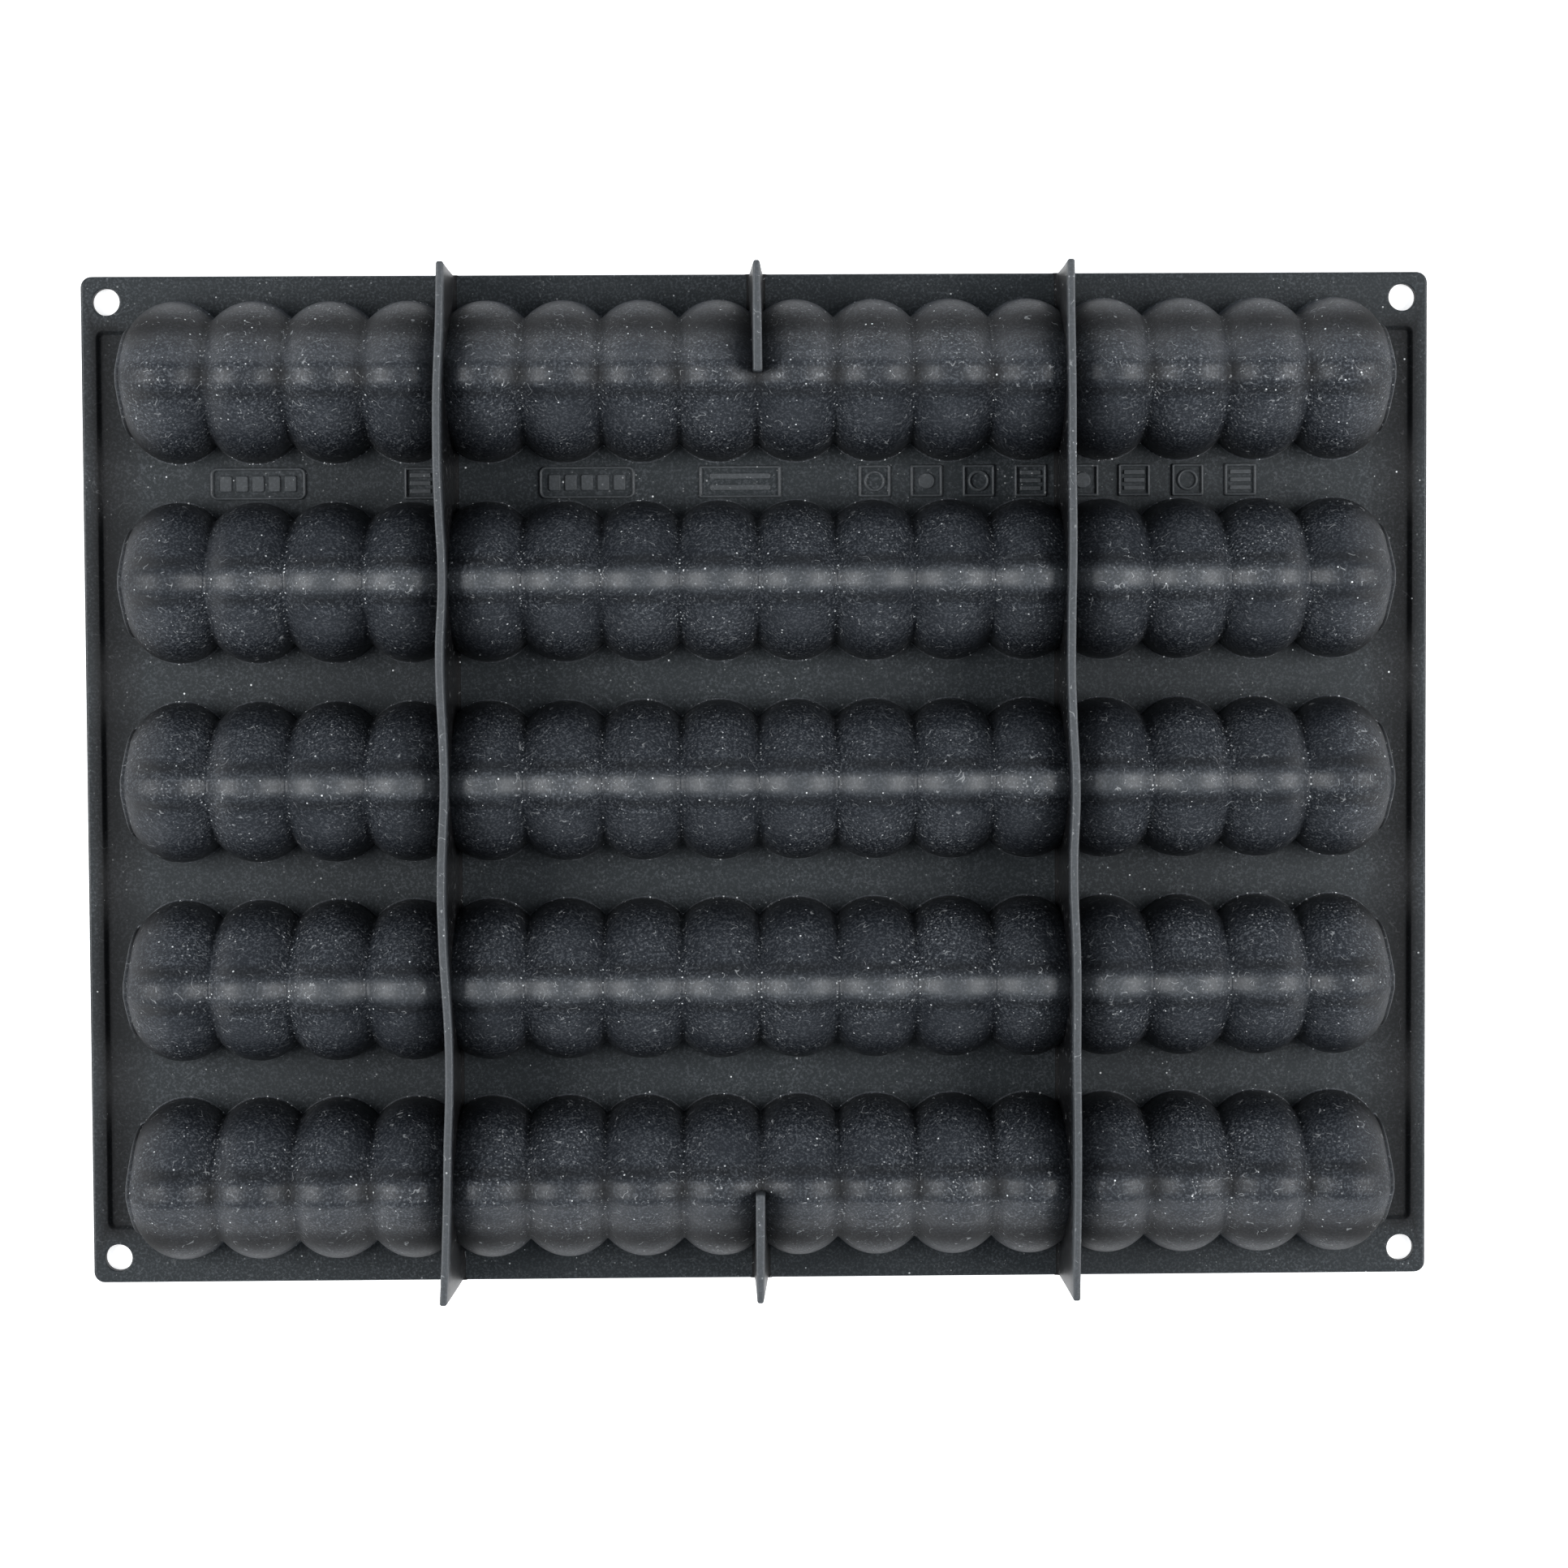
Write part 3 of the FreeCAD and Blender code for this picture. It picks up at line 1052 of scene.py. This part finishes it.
@dataclass
class FramedPanel:
    """A small raised frame with a plain shape in it."""

    name: str
    x: float
    y: float
    length: float
    width: float
    corner: float
    mark: Mark
    level: float = 1.8
    line: float = 0.7
    rise: float = 0.8
    ease: float = 0.22
    buried: float = 0.05
    least_corner: float = 0.2
    round_size: float = 0.5
    ring_size: float = 0.66
    round_rise: float = 0.8
    # Some dust, with a painted highlight and some painted light on the raised lines and shapes
    marks: tuple[float, ...] = (0.1, 1.0, 0.3, 0.0)

    def ring(self, loop: np.ndarray, grow: float, height: float) -> np.ndarray:
        """One ring of points of a raised shape.

        Args:
            loop: The shape's outline about the frame's middle.
            grow: How far the ring lies outside the outline.
            height: Its height over the web.

        Returns:
            The points, one row each.
        """
        middle = (loop.max(0) + loop.min(0)) / 2
        spokes = loop - middle
        away = spokes / np.linalg.norm(spokes, axis=1, keepdims=True)
        placed = loop + away * grow + (self.x, self.y)
        return np.column_stack([placed, np.full(len(loop), self.level + height)])

    def ridge(self, draft: MeshDraft, outer: np.ndarray, inner: np.ndarray | None, rise: float) -> None:
        """Adds a raised shape between two loops, or over one loop.

        Args:
            draft: The mesh being gathered.
            outer: Outer loop, about the frame's middle.
            inner: Inner loop, or None for a filled shape.
            rise: How far it stands up.
        """
        rings = [self.ring(outer, self.ease, -self.buried), self.ring(outer, 0.0, rise - self.ease),
                 self.ring(outer, -self.ease, rise)]
        if inner is not None:
            rings += [self.ring(inner, self.ease, rise), self.ring(inner, 0.0, rise - self.ease),
                      self.ring(inner, -self.ease, -self.buried)]
        start = draft.add(np.concatenate(rings), marks=self.marks)
        draft.weave(start, len(rings), len(outer), closed=True)
        if inner is None:
            last = start + (len(rings) - 1) * len(outer)
            draft.fill([last + i for i in range(len(outer))])

    def build(self, material: bpy.types.Material) -> bpy.types.Object:
        """Builds the frame and its shape.

        Args:
            material: Its finish.

        Returns:
            The piece.
        """
        draft = MeshDraft()
        half_x, half_y = self.length / 2, self.width / 2
        inner_corner = max(self.corner - self.line, self.least_corner)
        self.ridge(draft, round_rectangle(half_x, half_y, self.corner),
                   round_rectangle(half_x - self.line, half_y - self.line, inner_corner), self.rise)
        size = min(half_x, half_y)
        if self.mark is Mark.RING:
            self.ridge(draft, circle(size * self.ring_size), circle(size * self.round_size),
                       self.rise * self.round_rise)
        elif self.mark is Mark.DISC:
            self.ridge(draft, circle(size * self.round_size), None, self.rise * self.round_rise)
        else:
            filling = FILLINGS[self.mark]
            shape = round_rectangle(half_x * filling.length, half_y * filling.width, filling.corner)
            for along, across in filling.places:
                self.ridge(draft, shape + (along * half_x, across * half_y), None, self.rise * filling.rise)
        return draft.build(self.name, material)


# Effects shared by the finishes


class NodeMaker:
    """Adds nodes to one node tree and joins them."""

    def __init__(self, tree: bpy.types.NodeTree) -> None:
        """Takes the tree that the nodes go into."""
        self.tree = tree

    def node(self, kind: str, values: dict[str, object] | None = None, **settings: object) -> bpy.types.Node:
        """Adds a node.

        Args:
            kind: The node's type.
            values: What its inputs are fed with, by name.
            settings: Its properties, by name.

        Returns:
            The new node.
        """
        node = self.tree.nodes.new(kind)
        for name, value in settings.items():
            setattr(node, name, value)
        for name, value in (values or {}).items():
            self.feed(node.inputs[name], value)
        return node

    def feed(self, socket: bpy.types.NodeSocket, value: object) -> None:
        """Links an input to another socket, or gives it a number or a colour.

        Args:
            socket: The input.
            value: Another socket, a number, or the three parts of a colour.
        """
        if isinstance(value, bpy.types.NodeSocket):
            self.tree.links.new(value, socket)
        else:
            socket.default_value = (*value, 1.0) if isinstance(value, tuple) else value

    def math(self, operation: str, a: object, b: object = 0.0, clamp: bool = False) -> bpy.types.NodeSocket:
        """Adds a sum of two numbers or sockets.

        Args:
            operation: Name of the sum.
            a: First number or socket.
            b: Second number or socket.
            clamp: Whether the result is held between 0 and 1.

        Returns:
            The result's socket.
        """
        node = self.node("ShaderNodeMath", operation=operation, use_clamp=clamp)
        self.feed(node.inputs[0], a)
        self.feed(node.inputs[1], b)
        return node.outputs[0]

    def part(self, value: object, amount: object) -> bpy.types.NodeSocket:
        """Multiplies a value by an amount, and holds the result between 0 and 1."""
        return self.math("MULTIPLY", value, amount, clamp=True)

    def layer(self, below: object, above: object, mask: object, blend: str = "MIX") -> bpy.types.NodeSocket:
        """Lays one colour over another.

        Args:
            below: Colour or socket that is covered.
            above: Colour or socket that covers it.
            mask: Number or socket that says how much is covered.
            blend: Name of the way in which they mix.

        Returns:
            The result's socket.
        """
        mix = self.node("ShaderNodeMix", {"Factor": mask}, data_type="RGBA", blend_type=blend)
        self.feed(mix.inputs[MIX_BELOW], below)
        self.feed(mix.inputs[MIX_ABOVE], above)
        return mix.outputs[MIX_RESULT]


class NodeGroupMaker(NodeMaker):
    """Builds one shader node group with named sockets."""

    def __init__(self, name: str, inputs: dict[str, float], *output_names: str) -> None:
        """Starts the group.

        Args:
            name: Name of the group.
            inputs: Number inputs with their first values.
            output_names: Names of the number outputs.
        """
        super().__init__(bpy.data.node_groups.new(name, "ShaderNodeTree"))
        sockets = self.tree.interface
        for socket, value in inputs.items():
            made = sockets.new_socket(name=socket, in_out="INPUT", socket_type="NodeSocketFloat")
            made.default_value = value
        for socket in output_names:
            sockets.new_socket(name=socket, in_out="OUTPUT", socket_type="NodeSocketFloat")
        self.entry = self.node("NodeGroupInput").outputs
        self.exit = self.node("NodeGroupOutput").inputs

    def shifted_place(self) -> bpy.types.NodeSocket:
        """Place on the object, moved by the group's seed so that no two finishes are alike.

        Returns:
            The place's socket.
        """
        moved = self.node("ShaderNodeVectorMath", operation="ADD")
        self.feed(moved.inputs[0], self.node("ShaderNodeTexCoord").outputs["Object"])
        self.feed(moved.inputs[1], self.entry["Seed"])
        return moved.outputs[0]

    def noise(self, place: bpy.types.NodeSocket, scale: bpy.types.NodeSocket, detail: float,
              roughness: float) -> bpy.types.NodeSocket:
        """Adds cloudy noise.

        Args:
            place: Where it is read.
            scale: How fine it is.
            detail: How many finer layers it has.
            roughness: How strong those are.

        Returns:
            The value's socket.
        """
        values = {"Vector": place, "Scale": scale, "Detail": detail, "Roughness": roughness}
        return self.node("ShaderNodeTexNoise", values).outputs["Fac"]

    def between(self, value: bpy.types.NodeSocket, low: float, high: float) -> bpy.types.NodeSocket:
        """Stretches a value so that the low bound becomes 0 and the high bound 1.

        Args:
            value: The value's socket.
            low: Values below this become 0.
            high: Values above this become 1.

        Returns:
            The result's socket.
        """
        node = self.node("ShaderNodeMapRange", {"Value": value, "From Min": low, "From Max": high})
        return node.outputs["Result"]


def make_bloom(patches: tuple[float, float] = (0.4, 0.66), grains: tuple[float, float] = (0.46, 0.74),
               uneven: float = 0.4) -> bpy.types.NodeTree:
    """Powdery bloom: a fine sparkle of powder that lies thicker in soft patches.

    Args:
        patches: Noise values between which a patch grows full.
        grains: Noise values between which a grain of powder grows full.
        uneven: Share of the powder that only the patches have.

    Returns:
        The node group.
    """
    group = NodeGroupMaker("powdery_bloom", {"Patches": 45.0, "Powder": 1300.0, "Seed": 0.0}, "Mask", "Patch")
    place = group.shifted_place()
    patch = group.between(group.noise(place, group.entry["Patches"], 2.0, 0.6), *patches)
    grain = group.between(group.noise(place, group.entry["Powder"], 1.0, 0.7), *grains)
    even = group.math("ADD", group.math("MULTIPLY", patch, uneven), 1.0 - uneven)
    group.feed(group.exit["Mask"], group.math("MULTIPLY", grain, even))
    group.feed(group.exit["Patch"], patch)
    return group.tree


def make_specks(least_size: float = 0.4, more_size: float = 1.2, sharpness: float = 3.0,
                least_strength: float = 0.35) -> bpy.types.NodeTree:
    """Dust specks: small light dots, each with its own size, scattered unevenly.

    Args:
        least_size: Size of the smallest dot, as a share of the group's size.
        more_size: How much larger the largest is, as such a share.
        sharpness: How steeply a dot's edge rises.
        least_strength: Strength of the faintest dot.

    Returns:
        The node group.
    """
    group = NodeGroupMaker("dust_specks", {"Scale": 300.0, "Size": 0.12, "Amount": 0.3, "Seed": 0.0}, "Mask")
    cells = group.node("ShaderNodeTexVoronoi",
                       {"Vector": group.shifted_place(), "Scale": group.entry["Scale"]}, feature="F1").outputs
    pick = group.node("ShaderNodeSeparateColor", {"Color": cells["Color"]}).outputs
    chosen = group.math("LESS_THAN", pick["Red"], group.entry["Amount"])
    own_size = group.math("ADD", group.math("MULTIPLY", pick["Green"], more_size), least_size)
    size = group.math("MULTIPLY", group.entry["Size"], own_size)
    near = group.math("SUBTRACT", 1.0, group.math("DIVIDE", cells["Distance"], size), clamp=True)
    dot = group.math("MULTIPLY", group.part(near, sharpness), chosen)
    strength = group.math("ADD", group.math("MULTIPLY", pick["Blue"], 1.0 - least_strength), least_strength)
    group.feed(group.exit["Mask"], group.math("MULTIPLY", dot, strength))
    return group.tree


def make_swirls(width: float = 0.014, break_scale: float = 1.9,
                breaks: tuple[float, float] = (0.62, 0.7)) -> bpy.types.NodeTree:
    """Handling swirls: thin pale curved scuffs, broken up along their length.

    Args:
        width: Half of a scuff's width, in noise values.
        break_scale: How much finer the breaks are than the scuffs.
        breaks: Noise values between which a scuff grows full.

    Returns:
        The node group.
    """
    group = NodeGroupMaker("handling_swirls", {"Scale": 60.0, "Seed": 0.0}, "Mask")
    place = group.shifted_place()
    lines = group.noise(place, group.entry["Scale"], 1.0, 0.55)
    broken = group.noise(place, group.math("MULTIPLY", group.entry["Scale"], break_scale), 0.0, 0.5)
    off = group.math("ABSOLUTE", group.math("SUBTRACT", lines, 0.5))
    thin = group.math("SUBTRACT", 1.0, group.math("DIVIDE", off, width), clamp=True)
    group.feed(group.exit["Mask"], group.math("MULTIPLY", thin, group.between(broken, *breaks)))
    return group.tree


def make_grain() -> bpy.types.NodeTree:
    """Moulded grain: the fine matt surface that the steel tool leaves on silicone.

    Returns:
        The node group.
    """
    group = NodeGroupMaker("moulded_grain", {"Scale": 900.0}, "Height")
    place = group.node("ShaderNodeTexCoord").outputs["Object"]
    group.feed(group.exit["Height"], group.noise(place, group.entry["Scale"], 1.0, 0.65))
    return group.tree


@dataclass
class Effects:
    """The node groups that every finish shares, each built once."""

    bloom: bpy.types.NodeTree = field(default_factory=make_bloom)
    specks: bpy.types.NodeTree = field(default_factory=make_specks)
    swirls: bpy.types.NodeTree = field(default_factory=make_swirls)
    grain: bpy.types.NodeTree = field(default_factory=make_grain)


@dataclass(frozen=True)
class SiliconeFinish:
    """Matt charcoal silicone, with how dusty and scuffed it is in one place, and the painted highlight,
    painted light and painted shade that its marks call for.
    """

    name: str
    seed: float = 0.0
    colour: tuple[float, float, float] = (0.011, 0.0135, 0.018)
    # The dark colour is painted shade, the powder colour also serves as painted light, and the crest colour
    # is a painted highlight
    painted_shade_colour: tuple[float, float, float] = (0.002, 0.002, 0.0025)
    powder_and_light_colour: tuple[float, float, float] = (0.13, 0.14, 0.155)
    highlight_colour: tuple[float, float, float] = (0.075, 0.081, 0.086)
    dust_colour: tuple[float, float, float] = (0.8, 0.82, 0.83)

    # How much of each colour there is, painted light and painted highlight included, and how far places under
    # painted shade are bare of powder
    painted_light_amount: float = 0.13
    highlight_amount: float = 0.52
    powder_amount: float = 0.7
    bare_in_shade: float = 0.85

    # Coarse specks, fine dust in patches and nooks, and scuffs
    speck_scale: float = 450.0
    speck_size: float = 0.1
    speck_amount: float = 0.36
    fine_scale: float = 1000.0
    fine_size: float = 0.22
    fine_share: float = 1.6
    fine_seed: float = 3.1
    patch_dust: float = 0.45
    nook_dust: float = 1.0
    swirl_scale: float = 230.0
    swirl_amount: float = 0.3

    # The surface, which is rougher where it is dusty or marked matt, and smoother where painted shade lies
    ior: float = 1.42
    roughness: float = 0.48
    dust_roughness: float = 0.3
    matt_roughness: float = 0.42
    low_polish: float = 0.12
    grain_strength: float = 0.6
    grain_depth: float = 0.00005

    def build(self, effects: Effects) -> bpy.types.Material:
        """Makes the material.

        Args:
            effects: The shared node groups.

        Returns:
            The material.
        """
        material = bpy.data.materials.new(self.name)
        material.use_nodes = True
        nodes = NodeMaker(material.node_tree)
        nook, crest, painted_shading, matt = (nodes.node("ShaderNodeAttribute", attribute_name=mark).outputs["Fac"]
                                   for mark in MARKS)
        bloom = self.effect(nodes, effects.bloom)
        dust = self.dust(nodes, effects, bloom["Patch"], nook, painted_shading)
        # Painted shade darkens, painted light lightens with the powder colour, and the crest mark lays a
        # painted highlight
        colour = nodes.layer(self.colour, self.painted_shade_colour, nodes.part(painted_shading, -1.0))
        colour = nodes.layer(colour, self.powder_and_light_colour, nodes.part(painted_shading, self.painted_light_amount))
        colour = nodes.layer(colour, self.highlight_colour, nodes.part(crest, self.highlight_amount))
        # Powder bloom, thinner where painted shade lies, then dust
        bare = nodes.part(painted_shading, -self.powder_amount * self.bare_in_shade)
        powder = nodes.part(bloom["Mask"], nodes.math("SUBTRACT", self.powder_amount, bare))
        colour = nodes.layer(colour, self.powder_and_light_colour, powder)
        colour = nodes.layer(colour, self.dust_colour, dust)
        rough = nodes.math("ADD", nodes.part(dust, self.dust_roughness), self.roughness)
        rough = nodes.math("ADD", rough, nodes.part(matt, self.matt_roughness))
        rough = nodes.math("SUBTRACT", rough, nodes.part(painted_shading, -self.low_polish))
        grain = nodes.node("ShaderNodeGroup", node_tree=effects.grain).outputs["Height"]
        bump = nodes.node("ShaderNodeBump", {"Strength": self.grain_strength, "Distance": self.grain_depth,
                                             "Height": grain}).outputs["Normal"]
        shader = material.node_tree.nodes["Principled BSDF"].inputs
        for name, value in (("Base Color", colour), ("Roughness", rough), ("IOR", self.ior),
                            ("Normal", bump)):
            nodes.feed(shader[name], value)
        return material

    def effect(self, nodes: NodeMaker, group: bpy.types.NodeTree, shift: float = 0.0,
               **values: float) -> bpy.types.bpy_prop_collection:
        """Adds one of the shared effects.

        Args:
            nodes: The maker of the material's nodes.
            group: The effect's node group.
            shift: How far its seed lies from the finish's own.
            values: Its inputs by name.

        Returns:
            Its outputs.
        """
        made = nodes.node("ShaderNodeGroup", node_tree=group)
        for name, value in (values | {"Seed": self.seed + shift}).items():
            nodes.feed(made.inputs[name], value)
        return made.outputs

    def dust(self, nodes: NodeMaker, effects: Effects, patch: bpy.types.NodeSocket,
             nook: bpy.types.NodeSocket, painted_shading: bpy.types.NodeSocket) -> bpy.types.NodeSocket:
        """Adds specks, fine dust and scuffs.

        Args:
            nodes: The maker of the material's nodes.
            effects: The shared node groups.
            patch: Where the bloom lies in patches.
            nook: How much a place lies in a nook.
            painted_shading: Painted light above 0 and painted shade below 0 at a place.

        Returns:
            The mask of them all.
        """
        coarse = self.effect(nodes, effects.specks, Scale=self.speck_scale, Size=self.speck_size,
                             Amount=self.speck_amount)["Mask"]
        fine = self.effect(nodes, effects.specks, self.fine_seed, Scale=self.fine_scale, Size=self.fine_size,
                           Amount=self.speck_amount * self.fine_share)["Mask"]
        swirls = self.effect(nodes, effects.swirls, Scale=self.swirl_scale)["Mask"]
        lie = nodes.math("ADD", nodes.part(patch, self.patch_dust), nodes.part(nook, self.nook_dust))
        # Fine dust fades where painted shade lies
        light = nodes.math("SUBTRACT", 1.0, nodes.part(painted_shading, -self.bare_in_shade))
        specks = nodes.math("MAXIMUM", coarse, nodes.part(fine, nodes.math("MULTIPLY", lie, light)))
        return nodes.math("MAXIMUM", specks, nodes.part(swirls, self.swirl_amount))


# Camera, floor and light


@dataclass
class Viewpoint:
    """The camera, where the photograph was taken from."""

    place: tuple[float, float, float] = (-9.16, 45.22, 1057.3)
    turn: tuple[float, float, float] = (0.0443, 0.0160, 0.0057)
    focal_pixels: float = 4352.0
    picture_pixels: float = 1932.0
    sensor: float = 36.0
    clip: tuple[float, float] = (0.05, 20.0)

    def build(self) -> bpy.types.Object:
        """Makes the camera and gives it to the scene.

        Returns:
            The camera.
        """
        data = bpy.data.cameras.new("view")
        data.sensor_width = self.sensor
        data.lens = self.focal_pixels / self.picture_pixels * self.sensor
        data.clip_start, data.clip_end = self.clip
        camera = bpy.data.objects.new("view", data)
        bpy.context.scene.collection.objects.link(camera)
        turn = Vector(self.turn)
        rotation = Quaternion(turn.normalized(), turn.length).to_matrix().transposed()
        camera.matrix_world = Matrix.Translation(Vector(self.place) * MM) @ rotation.to_4x4()
        bpy.context.scene.camera = camera
        return camera


@dataclass
class Lamp:
    """One soft lamp."""

    name: str
    place: tuple[float, float, float]
    length: float
    width: float
    power: float

    def build(self) -> bpy.types.Object:
        """Makes the lamp, aimed at the middle of the mould.

        Returns:
            The lamp.
        """
        data = bpy.data.lights.new(self.name, "AREA")
        data.shape = "RECTANGLE"
        data.size, data.size_y, data.energy = self.length, self.width, self.power
        lamp = bpy.data.objects.new(self.name, data)
        bpy.context.scene.collection.objects.link(lamp)
        lamp.location = self.place
        lamp.rotation_mode = "QUATERNION"
        lamp.rotation_quaternion = (-Vector(self.place)).to_track_quat("-Z", "Y")
        return lamp


@dataclass
class Studio:
    """White floor, pale surroundings and soft lamps, in metres."""

    floor_half: float = 3.0
    floor_z: float = -0.0002
    floor_colour: tuple[float, float, float] = (0.9, 0.9, 0.9)
    floor_roughness: float = 0.9
    floor_glow: float = 0.7
    mirrored_glow: float = 0.3
    surround: tuple[float, float, float] = (0.88, 0.97, 1.07)
    zenith_strength: float = 0.27
    horizon_strength: float = 1.1
    zenith_from: float = 0.5
    lamps: tuple[Lamp, ...] = (
        Lamp("left_softbox", (-1.15, 0.0, 1.0), 0.9, 0.8, 21.0),
        Lamp("right_softbox", (1.15, 0.0, 1.0), 0.9, 0.8, 21.0),
    )

    def build(self) -> None:
        """Makes the floor, the surroundings and the lamps."""
        half, z = self.floor_half, self.floor_z
        mesh = bpy.data.meshes.new("floor")
        corners = [(-half, -half, z), (half, -half, z), (half, half, z), (-half, half, z)]
        mesh.from_pydata(corners, [], [(0, 1, 2, 3)])
        floor = bpy.data.objects.new("floor", mesh)
        bpy.context.scene.collection.objects.link(floor)
        mesh.materials.append(self.floor_material())
        self.build_world()
        for lamp in self.lamps:
            lamp.build()

    def floor_material(self) -> bpy.types.Material:
        """White floor, as bright as paper in a catalogue, with the mould's soft shadow kept.

        Returns:
            The material.
        """
        material = bpy.data.materials.new("white_floor")
        material.use_nodes = True
        nodes = NodeMaker(material.node_tree)
        ray = nodes.node("ShaderNodeLightPath").outputs
        seen = nodes.math("MULTIPLY", ray["Is Camera Ray"], self.floor_glow)
        mirrored = nodes.math("MULTIPLY", ray["Is Glossy Ray"], self.mirrored_glow)
        shader = material.node_tree.nodes["Principled BSDF"].inputs
        glow = nodes.math("MAXIMUM", seen, mirrored)
        for name, value in (("Base Color", self.floor_colour), ("Roughness", self.floor_roughness),
                            ("Emission Color", WHITE), ("Emission Strength", glow)):
            nodes.feed(shader[name], value)
        return material

    def build_world(self) -> None:
        """Surroundings that are brightest at the horizon and show white to the camera."""
        world = bpy.data.worlds.new("surroundings")
        bpy.context.scene.world = world
        world.use_nodes = True
        nodes = NodeMaker(world.node_tree)
        place = nodes.node("ShaderNodeTexCoord").outputs["Generated"]
        height = nodes.node("ShaderNodeSeparateXYZ", {"Vector": place}).outputs["Z"]
        fall = nodes.node("ShaderNodeMapRange", {
            "Value": height, "From Min": 0.0, "From Max": self.zenith_from,
            "To Min": self.horizon_strength, "To Max": self.zenith_strength}, interpolation_type="SMOOTHSTEP")
        sky = nodes.layer(fall.outputs["Result"], self.surround, 1.0, "MULTIPLY")
        sky = nodes.layer(sky, WHITE, nodes.node("ShaderNodeLightPath").outputs["Is Camera Ray"])
        nodes.feed(world.node_tree.nodes["Background"].inputs["Color"], sky)


# The mould


@dataclass
class Mould:
    """The whole mould: sheet, log rows, ribs, fins and plain frames."""

    sheet: Sheet = field(default_factory=Sheet)
    row_count: int = 5
    row_pitch: float = 59.2
    root_depth: float = 0.9
    rib_x: float = 91.44
    row_edge_y: float = 118.4

    # Pairs of place across the mould and how far the top leans, or how thick it is
    left_sway: tuple[tuple[float, float], ...] = (
        (-150, -0.8), (-146, -0.6), (-129, 0.15), (-104, 0.85), (-79, 1.55), (-44, -0.1), (-24, -0.25),
        (-2, 0.75), (39.5, -0.2), (60.5, 0.7), (77, 0.05), (99.5, -0.5), (135, 0.65), (150, 1.05))
    right_sway: tuple[tuple[float, float], ...] = (
        (-150, -0.55), (-141, -0.45), (-112.6, -0.05), (-79, -0.25), (-51, -0.25), (-22.5, -1.05),
        (-2, -0.35), (17, -1.15), (45.5, -1.55), (64.5, -1.15), (93, -1.3), (116, -1.3), (131, -1.5),
        (150, -1.7))
    upper_sway: tuple[tuple[float, float], ...] = ((118, 0.1), (150, -0.15))
    lower_sway: tuple[tuple[float, float], ...] = ((-150, -0.65), (-118, -0.5))
    rib_widths: tuple[tuple[float, float], ...] = ((-150, 2.1), (0, 2.35), (150, 2.1))
    upper_widths: tuple[tuple[float, float], ...] = ((118, 2.6), (135, 2.4), (150, 1.9))
    lower_widths: tuple[tuple[float, float], ...] = ((-150, 1.9), (-135, 2.4), (-118, 2.6))

    # Place along the web, length, corner radius and inner shape of each frame
    panels: tuple[tuple[float, float, float, Mark], ...] = (
        (-148.2, 28.2, 2.0, Mark.BLOCKS), (-100.0, 9.4, 0.5, Mark.BARS), (-50.6, 28.4, 2.0, Mark.BLOCKS),
        (-5.0, 24.2, 0.5, Mark.LINES), (35.1, 9.4, 0.5, Mark.RING), (50.6, 9.4, 0.5, Mark.DISC),
        (66.2, 9.4, 0.5, Mark.RING), (81.7, 9.4, 0.5, Mark.BARS), (97.1, 9.4, 0.5, Mark.DISC),
        (112.5, 9.4, 0.5, Mark.BARS), (128.5, 9.4, 0.5, Mark.RING), (144.3, 9.4, 0.5, Mark.BARS))
    panel_y: float = 88.6
    panel_width: float = 9.4

    # The finishes
    sheet_finish: SiliconeFinish = SiliconeFinish("silicone_sheet", colour=(0.013, 0.017, 0.0195),
                                                  powder_amount=0.38, speck_amount=0.07, swirl_amount=0.05)
    log_finish: SiliconeFinish = SiliconeFinish("silicone_logs", seed=1.3)
    rib_finish: SiliconeFinish = SiliconeFinish("silicone_ribs", seed=2.6, powder_amount=0.5,
                                                speck_amount=0.16, highlight_amount=0.75)

    def rows(self) -> list[LogRow]:
        """The logs, from the one nearest the top of the photograph."""
        return [LogRow(number + 1, self.row_pitch * ((self.row_count - 1) / 2 - number), self.sheet)
                for number in range(self.row_count)]

    def uprights(self) -> list[tuple[Upright, tuple[int, ...]]]:
        """Ribs across the whole mould and fins on the outer rows.

        Returns:
            Each of them, with the numbers of the logs that it stands on.
        """
        edge, every = self.sheet.width / 2, tuple(range(self.row_count))
        made = (("rib_left", -self.rib_x, -edge, edge, self.left_sway, self.rib_widths, every),
                ("rib_right", self.rib_x, -edge, edge, self.right_sway, self.rib_widths, every),
                ("fin_upper", 0.0, self.row_edge_y, edge, self.upper_sway, self.upper_widths, every[:1]),
                ("fin_lower", 0.0, -edge, -self.row_edge_y, self.lower_sway, self.lower_widths, every[-1:]))
        return [(Upright(name, x, start, end, self.sheet, sway, widths), numbers)
                for name, x, start, end, sway, widths, numbers in made]

    def build(self, effects: Effects) -> None:
        """Builds every piece with its finish.

        Args:
            effects: The shared node groups.
        """
        rows = self.rows()
        sheet_material = self.sheet_finish.build(effects)
        self.sheet.build(sheet_material, [row.root_loop(self.root_depth) for row in rows],
                         [row.opening() for row in rows])
        log_material = self.log_finish.build(effects)
        for row in rows:
            row.build(log_material)
        rib_material = self.rib_finish.build(effects)
        for upright, numbers in self.uprights():
            upright.build(rib_material, [rows[number] for number in numbers])
        for number, (x, length, corner, mark) in enumerate(self.panels):
            name = f"panel_{number + 1}"
            panel = FramedPanel(name, x, self.panel_y, length, self.panel_width, corner, mark)
            panel.build(sheet_material)


def main() -> None:
    """Builds the view, the studio and the mould."""
    logging.basicConfig(level=logging.INFO, format="%(name)s: %(message)s")
    bpy.context.scene.view_settings.view_transform = "Standard"
    Viewpoint().build()
    Studio().build()
    Mould().build(Effects())
    bpy.context.view_layer.update()
    log.info("boxes written")


if __name__ == "__main__":
    main()
